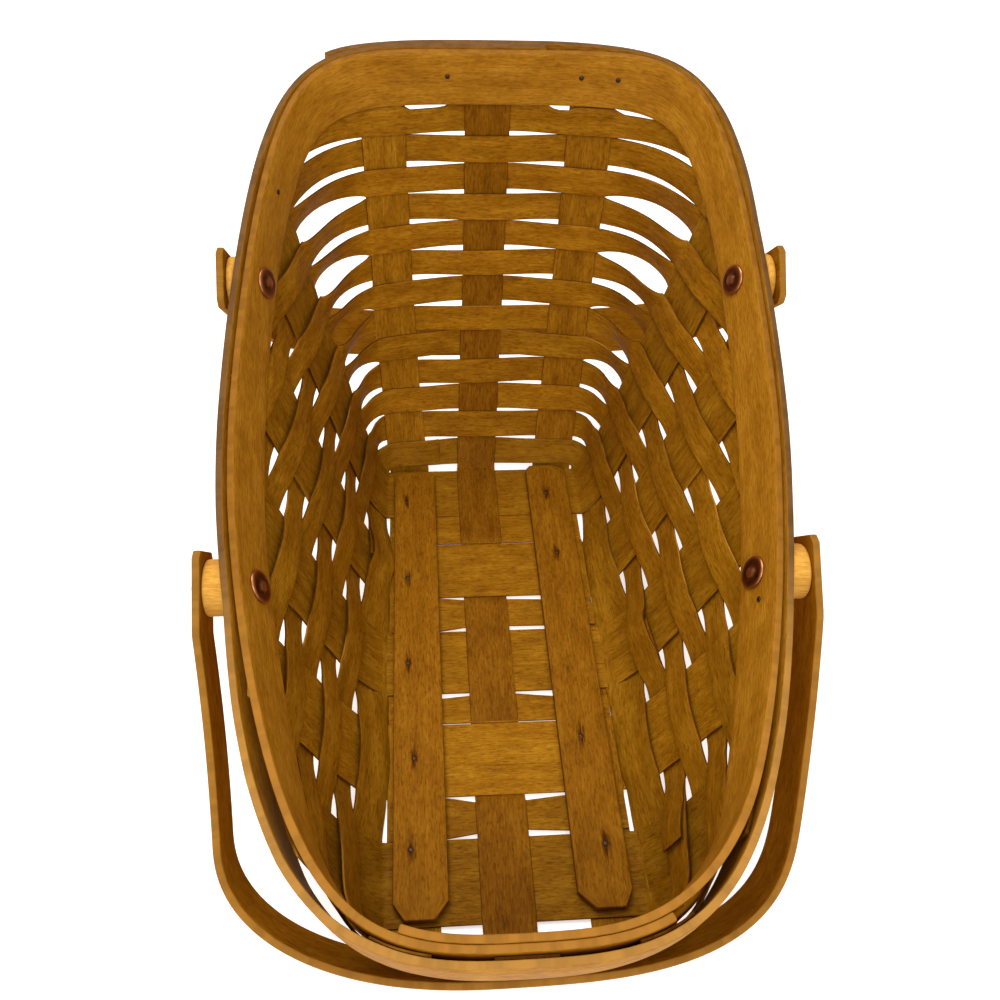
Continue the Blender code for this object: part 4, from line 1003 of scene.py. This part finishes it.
# ================================================================ tacks
def tack(name, centre, normal, length):
    sides = 18
    head, shank = 1.15 * MM, 0.5 * MM
    rot = np.array(Vector((0, 0, 1)).rotation_difference(Vector(normal)).to_matrix())
    prof = ((-length, 0.0, 0.0), (-length, shank, 0.0), (-0.02 * MM, shank, 0.0), (-0.02 * MM, head, 0.2),
            (0.16 * MM, head * 1.0, 0.6), (0.34 * MM, head * 0.86, 0.9), (0.46 * MM, head * 0.55, 0.7),
            (0.50 * MM, 0.0, 0.5))
    verts, grain, look, rings = [], [], [], []
    for a, r, e in prof:
        ring = []
        for i in range(1 if r == 0 else sides):
            w = 2 * math.pi * i / sides
            p = rot @ np.array((r * math.cos(w), r * math.sin(w), a))
            verts.append(np.asarray(centre) + p)
            grain.append((a, r * w, 1.0))
            look.append((1.0, e, 0.0))
            ring.append(len(verts) - 1)
        rings.append(ring)
    faces = []
    for p, q in zip(rings, rings[1:]):
        for i in range(sides):
            j = (i + 1) % sides
            if len(p) == 1:
                faces.append((p[0], q[j], q[i]))
            elif len(q) == 1:
                faces.append((p[i], p[j], q[0]))
            else:
                faces.append((p[i], p[j], q[j], q[i]))
    new_piece(name, verts, faces, grain, look, STEEL, "basket", (name,))


for side, xc, spots in zip(("left", "right"), RUNNER_X, RUNNER_TACKS):
    for j, (aside, along) in enumerate(spots):
        tack("runner_tack_%s_%d" % (side, j + 1), (xc + aside * S, along * S, RUNNER_Z + RUNNER_T + 0.12 * MM),
             (0, 0, 1), RUNNER_T)

RIM_TACKS = (("back", -0.85 * S), ("back", 1.95 * S), ("back", 2.75 * S), ("left", 5.35 * S),
             ("right", -2.35 * S))


def side_u(side, y, z):
    lo = nearest_length(BASE_PTS, BASE_LEN, side, y)
    us = lo + np.arange(-200, 201) * 0.25 * MM
    p = wall(us, z)
    ok = (p[:, 0] > 0) == (side == "right")
    return float(us[int(np.argmin(np.where(ok, np.abs(p[:, 1] - y), 1e9)))])


for j, (side, at) in enumerate(RIM_TACKS):
    if side == "back":
        u = base_length(nearest_length(RIM_PTS, RIM_LEN, "back", at))
    else:
        u = side_u(side, at, rim_height(at) - BAND_H / 2)
    z = float(band_top(u)) - BAND_H * 0.45
    p, nrm = wall(u, z), wall_normal(u, z)
    tack("rim_tack_%d" % (j + 1), p - nrm * (BAND_OFF + BAND_T + 0.12 * MM), tuple(-nrm), BAND_T)


# ================================================================ rivets and spacers
def face_plane(side, y, z, d):
    u = side_u(side, y, z)
    p, n = wall(u, z), wall_normal(u, z)
    q = p + n * d
    sy, sz = -n[1] / n[0], -n[2] / n[0]
    return q[0] + sy * (y - q[1]) + sz * (z - q[2]), sy, sz


for where, (py, pz) in (("front", PIVOT_FRONT), ("back", PIVOT_BACK)):
    cx = rim_centre(py)
    for side, sg in (("right", 1), ("left", -1)):
        x_in, ay, az = face_plane(side, py, pz, -(BAND_OFF + BAND_T))
        x_out, by, bz = face_plane(side, py, pz, BAND_OFF + BAND_T)
        tag = "%s_%s" % (where, side)
        seat = abs(x_in - cx) - 0.10 * MM
        end = HANDLE_HALF + 0.15 * MM
        R, T = HEAD_R, HEAD_T
        prof = [(seat - T, 0.0, 1, 0.9), (seat - T * 0.99, R * 0.12, 1, 0.9),
                (seat - T * 0.93, R * 0.24, 1, 0.8), (seat - T * 0.80, R * 0.33, 1, 0.4),
                (seat - T * 0.60, R * 0.38, 1, 0.0), (seat - T * 0.46, R * 0.44, 1, 0.0),
                (seat - T * 0.42, R * 0.58, 1, 0.0), (seat - T * 0.46, R * 0.74, 1, 0.1),
                (seat - T * 0.52, R * 0.86, 1, 0.6), (seat - T * 0.50, R * 0.94, 1, 1.0),
                (seat - T * 0.38, R * 0.99, 1, 1.0), (seat - T * 0.20, R, 1, 0.7),
                (seat - T * 0.04, R * 0.985, 1, 0.3), (seat, R * 0.96, 1, 0.0), (seat, 2.0 * MM, 1, 0.0),
                (end, 2.0 * MM, 0, 0.0), (end, BURR_R * 0.96, 0, 0.2),
                (end + BURR_T * 0.25, BURR_R, 0, 0.8), (end + BURR_T * 0.75, BURR_R * 0.985, 0, 1.0),
                (end + BURR_T, BURR_R * 0.90, 0, 0.7), (end + BURR_T * 0.98, BURR_R * 0.62, 0, 0.1),
                (end + BURR_T * 1.05, BURR_R * 0.50, 0, 0.1), (end + BURR_T * 1.55, BURR_R * 0.40, 0, 0.6),
                (end + BURR_T * 1.85, BURR_R * 0.22, 0, 0.9), (end + BURR_T * 1.95, 0.0, 0, 1.0)]
        turned("rivet_" + tag, prof, 36, (cx, py, pz), sg, (ay, az), COPPER, "basket",
               ("rivet_" + tag,), sharp=0.9)
        foot = abs(x_out - cx) + 0.15 * MM
        face = HANDLE_HALF - HANDLE_T - 0.15 * MM
        r = SPACER_R
        prof = [(foot, 2.4 * MM, 1, 0.0), (foot, r - 0.5 * MM, 1, 0.2), (foot + 0.4 * MM, r - 0.1 * MM, 1, 0.5),
                (foot + 0.9 * MM, r, 0.9, 0.0), (face - 1.3 * MM, r, 0, 0.0),
                (face - 0.55 * MM, r - 0.16 * MM, 0, 0.3), (face - 0.12 * MM, r - 0.6 * MM, 0, 0.4),
                (face, r - 1.2 * MM, 0, 0.2), (face, 2.4 * MM, 0, 0.0)]
        turned("spacer_" + tag, prof, 40, (cx, py, pz), sg, (by, bz), PALE, "basket",
               ("spacer_" + tag,), sharp=0.9)


# ================================================================ handles
def handle_path(roundness):
    def width(r):
        return HANDLE_HALF - HANDLE_TAPER * max(0.0, r - 0.8 * S)

    fine = [(width(r), r) for r in np.linspace(-HANDLE_TAIL, HANDLE_BEND, 60)]
    rise = HANDLE_REACH - HANDLE_BEND
    for a in np.linspace(0.0, math.pi / 2, 400)[1:]:
        r = HANDLE_BEND + rise * math.sin(a) ** (2.0 / roundness)
        fine.append((width(r) * max(0.0, math.cos(a)) ** (2.0 / roundness), r))
    fine = np.array(fine)
    run = np.concatenate([[0.0], np.cumsum(np.hypot(*np.diff(fine, axis=0).T))])
    out = []
    for s in [0.0, 3.2 * MM] + list(np.linspace(8.0 * MM, run[-1], 90)):
        x, r = np.interp(s, run, fine[:, 0]), np.interp(s, run, fine[:, 1])
        a, b = max(0.0, s - 2.5 * MM), min(run[-1], s + 2.5 * MM)
        dx = np.interp(b, run, fine[:, 0]) - np.interp(a, run, fine[:, 0])
        dr = np.interp(b, run, fine[:, 1]) - np.interp(a, run, fine[:, 1])
        h = math.hypot(dx, dr)
        out.append((float(x), float(r), dx / h, dr / h))
    out[-1] = (0.0, HANDLE_REACH, -1.0, 0.0)
    return out


def handle(name, pivot, drop, toward, tint):
    a = math.radians(drop)
    along = np.array((0, toward * math.cos(a), -math.sin(a)))
    across = np.array((0, toward * math.sin(a), math.cos(a)))
    centre = np.array((rim_centre(pivot[0]), pivot[0], pivot[1]))
    r = 0.6 * MM
    clip = 3.2 * MM
    cols = np.linspace(-1, 1, 9)
    rows = []
    for mirror, roundness in ((1, HANDLE_ROUND[0]), (-1, HANDLE_ROUND[1])):
        seq = handle_path(roundness)
        if mirror < 0:
            seq = seq[-2::-1]
        for x, rr, dx, dr in seq:
            nx, nr = dr, -dx                      # outward normal in the handle's plane
            px, pr = x - nx * HANDLE_T / 2, rr - nr * HANDLE_T / 2
            lean = HANDLE_LEAN * (max(0.0, pr - S) / (HANDLE_REACH - S)) ** 2
            w = HANDLE_W / 2 - r - max(0.0, clip - (rr + HANDLE_TAIL)) * 0.9
            rows.append(centre + np.array((mirror * px + lean, 0, 0)) + along * pr
                        + across * (cols * w)[:, None])
    return sheet(name, np.array(rows), HANDLE_T, r, HANDLE, name, (name,), tint=tint,
                 sharp=0.5)


handle("front_handle", PIVOT_FRONT, FRONT_DROP, -1, 1.0)
handle("back_handle", PIVOT_BACK, BACK_DROP, +1, 0.96)


# ================================================================ floor, light, camera
def floor_material():
    mat = bpy.data.materials.new("pale_floor")
    mat.use_nodes = True
    nt = mat.node_tree
    bsdf = nt.nodes["Principled BSDF"]
    n = nt.nodes.new("ShaderNodeTexNoise")
    n.inputs["Scale"].default_value = 3.0
    r = nt.nodes.new("ShaderNodeValToRGB")
    r.color_ramp.elements[0].color = (0.86, 0.86, 0.86, 1)
    r.color_ramp.elements[1].color = (0.90, 0.90, 0.90, 1)
    nt.links.new(n.outputs["Fac"], r.inputs[0])
    nt.links.new(r.outputs["Color"], bsdf.inputs["Base Color"])
    bsdf.inputs["Roughness"].default_value = 0.9
    bsdf.inputs["Specular IOR Level"].default_value = 0.1
    bsdf.inputs["Emission Color"].default_value = (1, 1, 1, 1)
    bsdf.inputs["Emission Strength"].default_value = 0.55
    return mat


mesh = bpy.data.meshes.new("studio_floor")
e = 4.0
mesh.from_pydata([(-e, -e, -0.0003), (e, -e, -0.0003), (e, e, -0.0003), (-e, e, -0.0003)], [], [(0, 1, 2, 3)])
ground = bpy.data.objects.new("studio_floor", mesh)
bpy.context.scene.collection.objects.link(ground)
mesh.materials.append(floor_material())


def area(name, loc, target, size, power, colour=(1, 1, 1)):
    light = bpy.data.lights.new(name, "AREA")
    light.shape = "RECTANGLE"
    light.size, light.size_y = size
    light.energy = power
    light.color = colour
    ob = bpy.data.objects.new(name, light)
    ob.location = loc
    ob.rotation_mode = "QUATERNION"
    ob.rotation_quaternion = (Vector(target) - Vector(loc)).to_track_quat("-Z", "Y")
    bpy.context.scene.collection.objects.link(ob)
    return ob


area("key", (-0.35, 0.45, 1.35), (0, 0.0, 0.05), (0.9, 0.9), 9.6, (1.0, 0.98, 0.95))
area("fill", (-0.05, -1.05, 0.95), (0, 0, 0.05), (0.9, 0.9), 8.8, (1.0, 0.99, 0.97))
area("top", (0.0, -0.1, 1.6), (0, 0, 0.0), (1.3, 1.3), 5.0)

world = bpy.data.worlds.new("studio")
bpy.context.scene.world = world
world.use_nodes = True
bg = world.node_tree.nodes["Background"]
bg.inputs[0].default_value = (1.0, 1.0, 1.0, 1.0)
bg.inputs[1].default_value = 0.44
bpy.context.scene.view_settings.view_transform = "Standard"

yaw, pitch, roll = math.radians(6.23), math.radians(45.76), math.radians(-3.16)
fwd = Vector((math.sin(yaw) * math.cos(pitch), math.cos(yaw) * math.cos(pitch), -math.sin(pitch)))
right = Vector((math.cos(yaw), -math.sin(yaw), 0))
down = fwd.cross(right)
cam_x = right * math.cos(roll) + down * math.sin(roll)
cam_down = down * math.cos(roll) - right * math.sin(roll)
cam_data = bpy.data.cameras.new("photo_camera")
cam_data.lens = 36.0
cam_data.sensor_width = 36.0
camera = bpy.data.objects.new("photo_camera", cam_data)
bpy.context.scene.collection.objects.link(camera)
pose = Matrix((cam_x, -cam_down, -fwd)).transposed().to_4x4()
pose.translation = Vector((-1.53 * S, -13.11 * S, 18.52 * S)) - Vector(ORIGIN)
camera.matrix_world = pose
bpy.context.scene.camera = camera
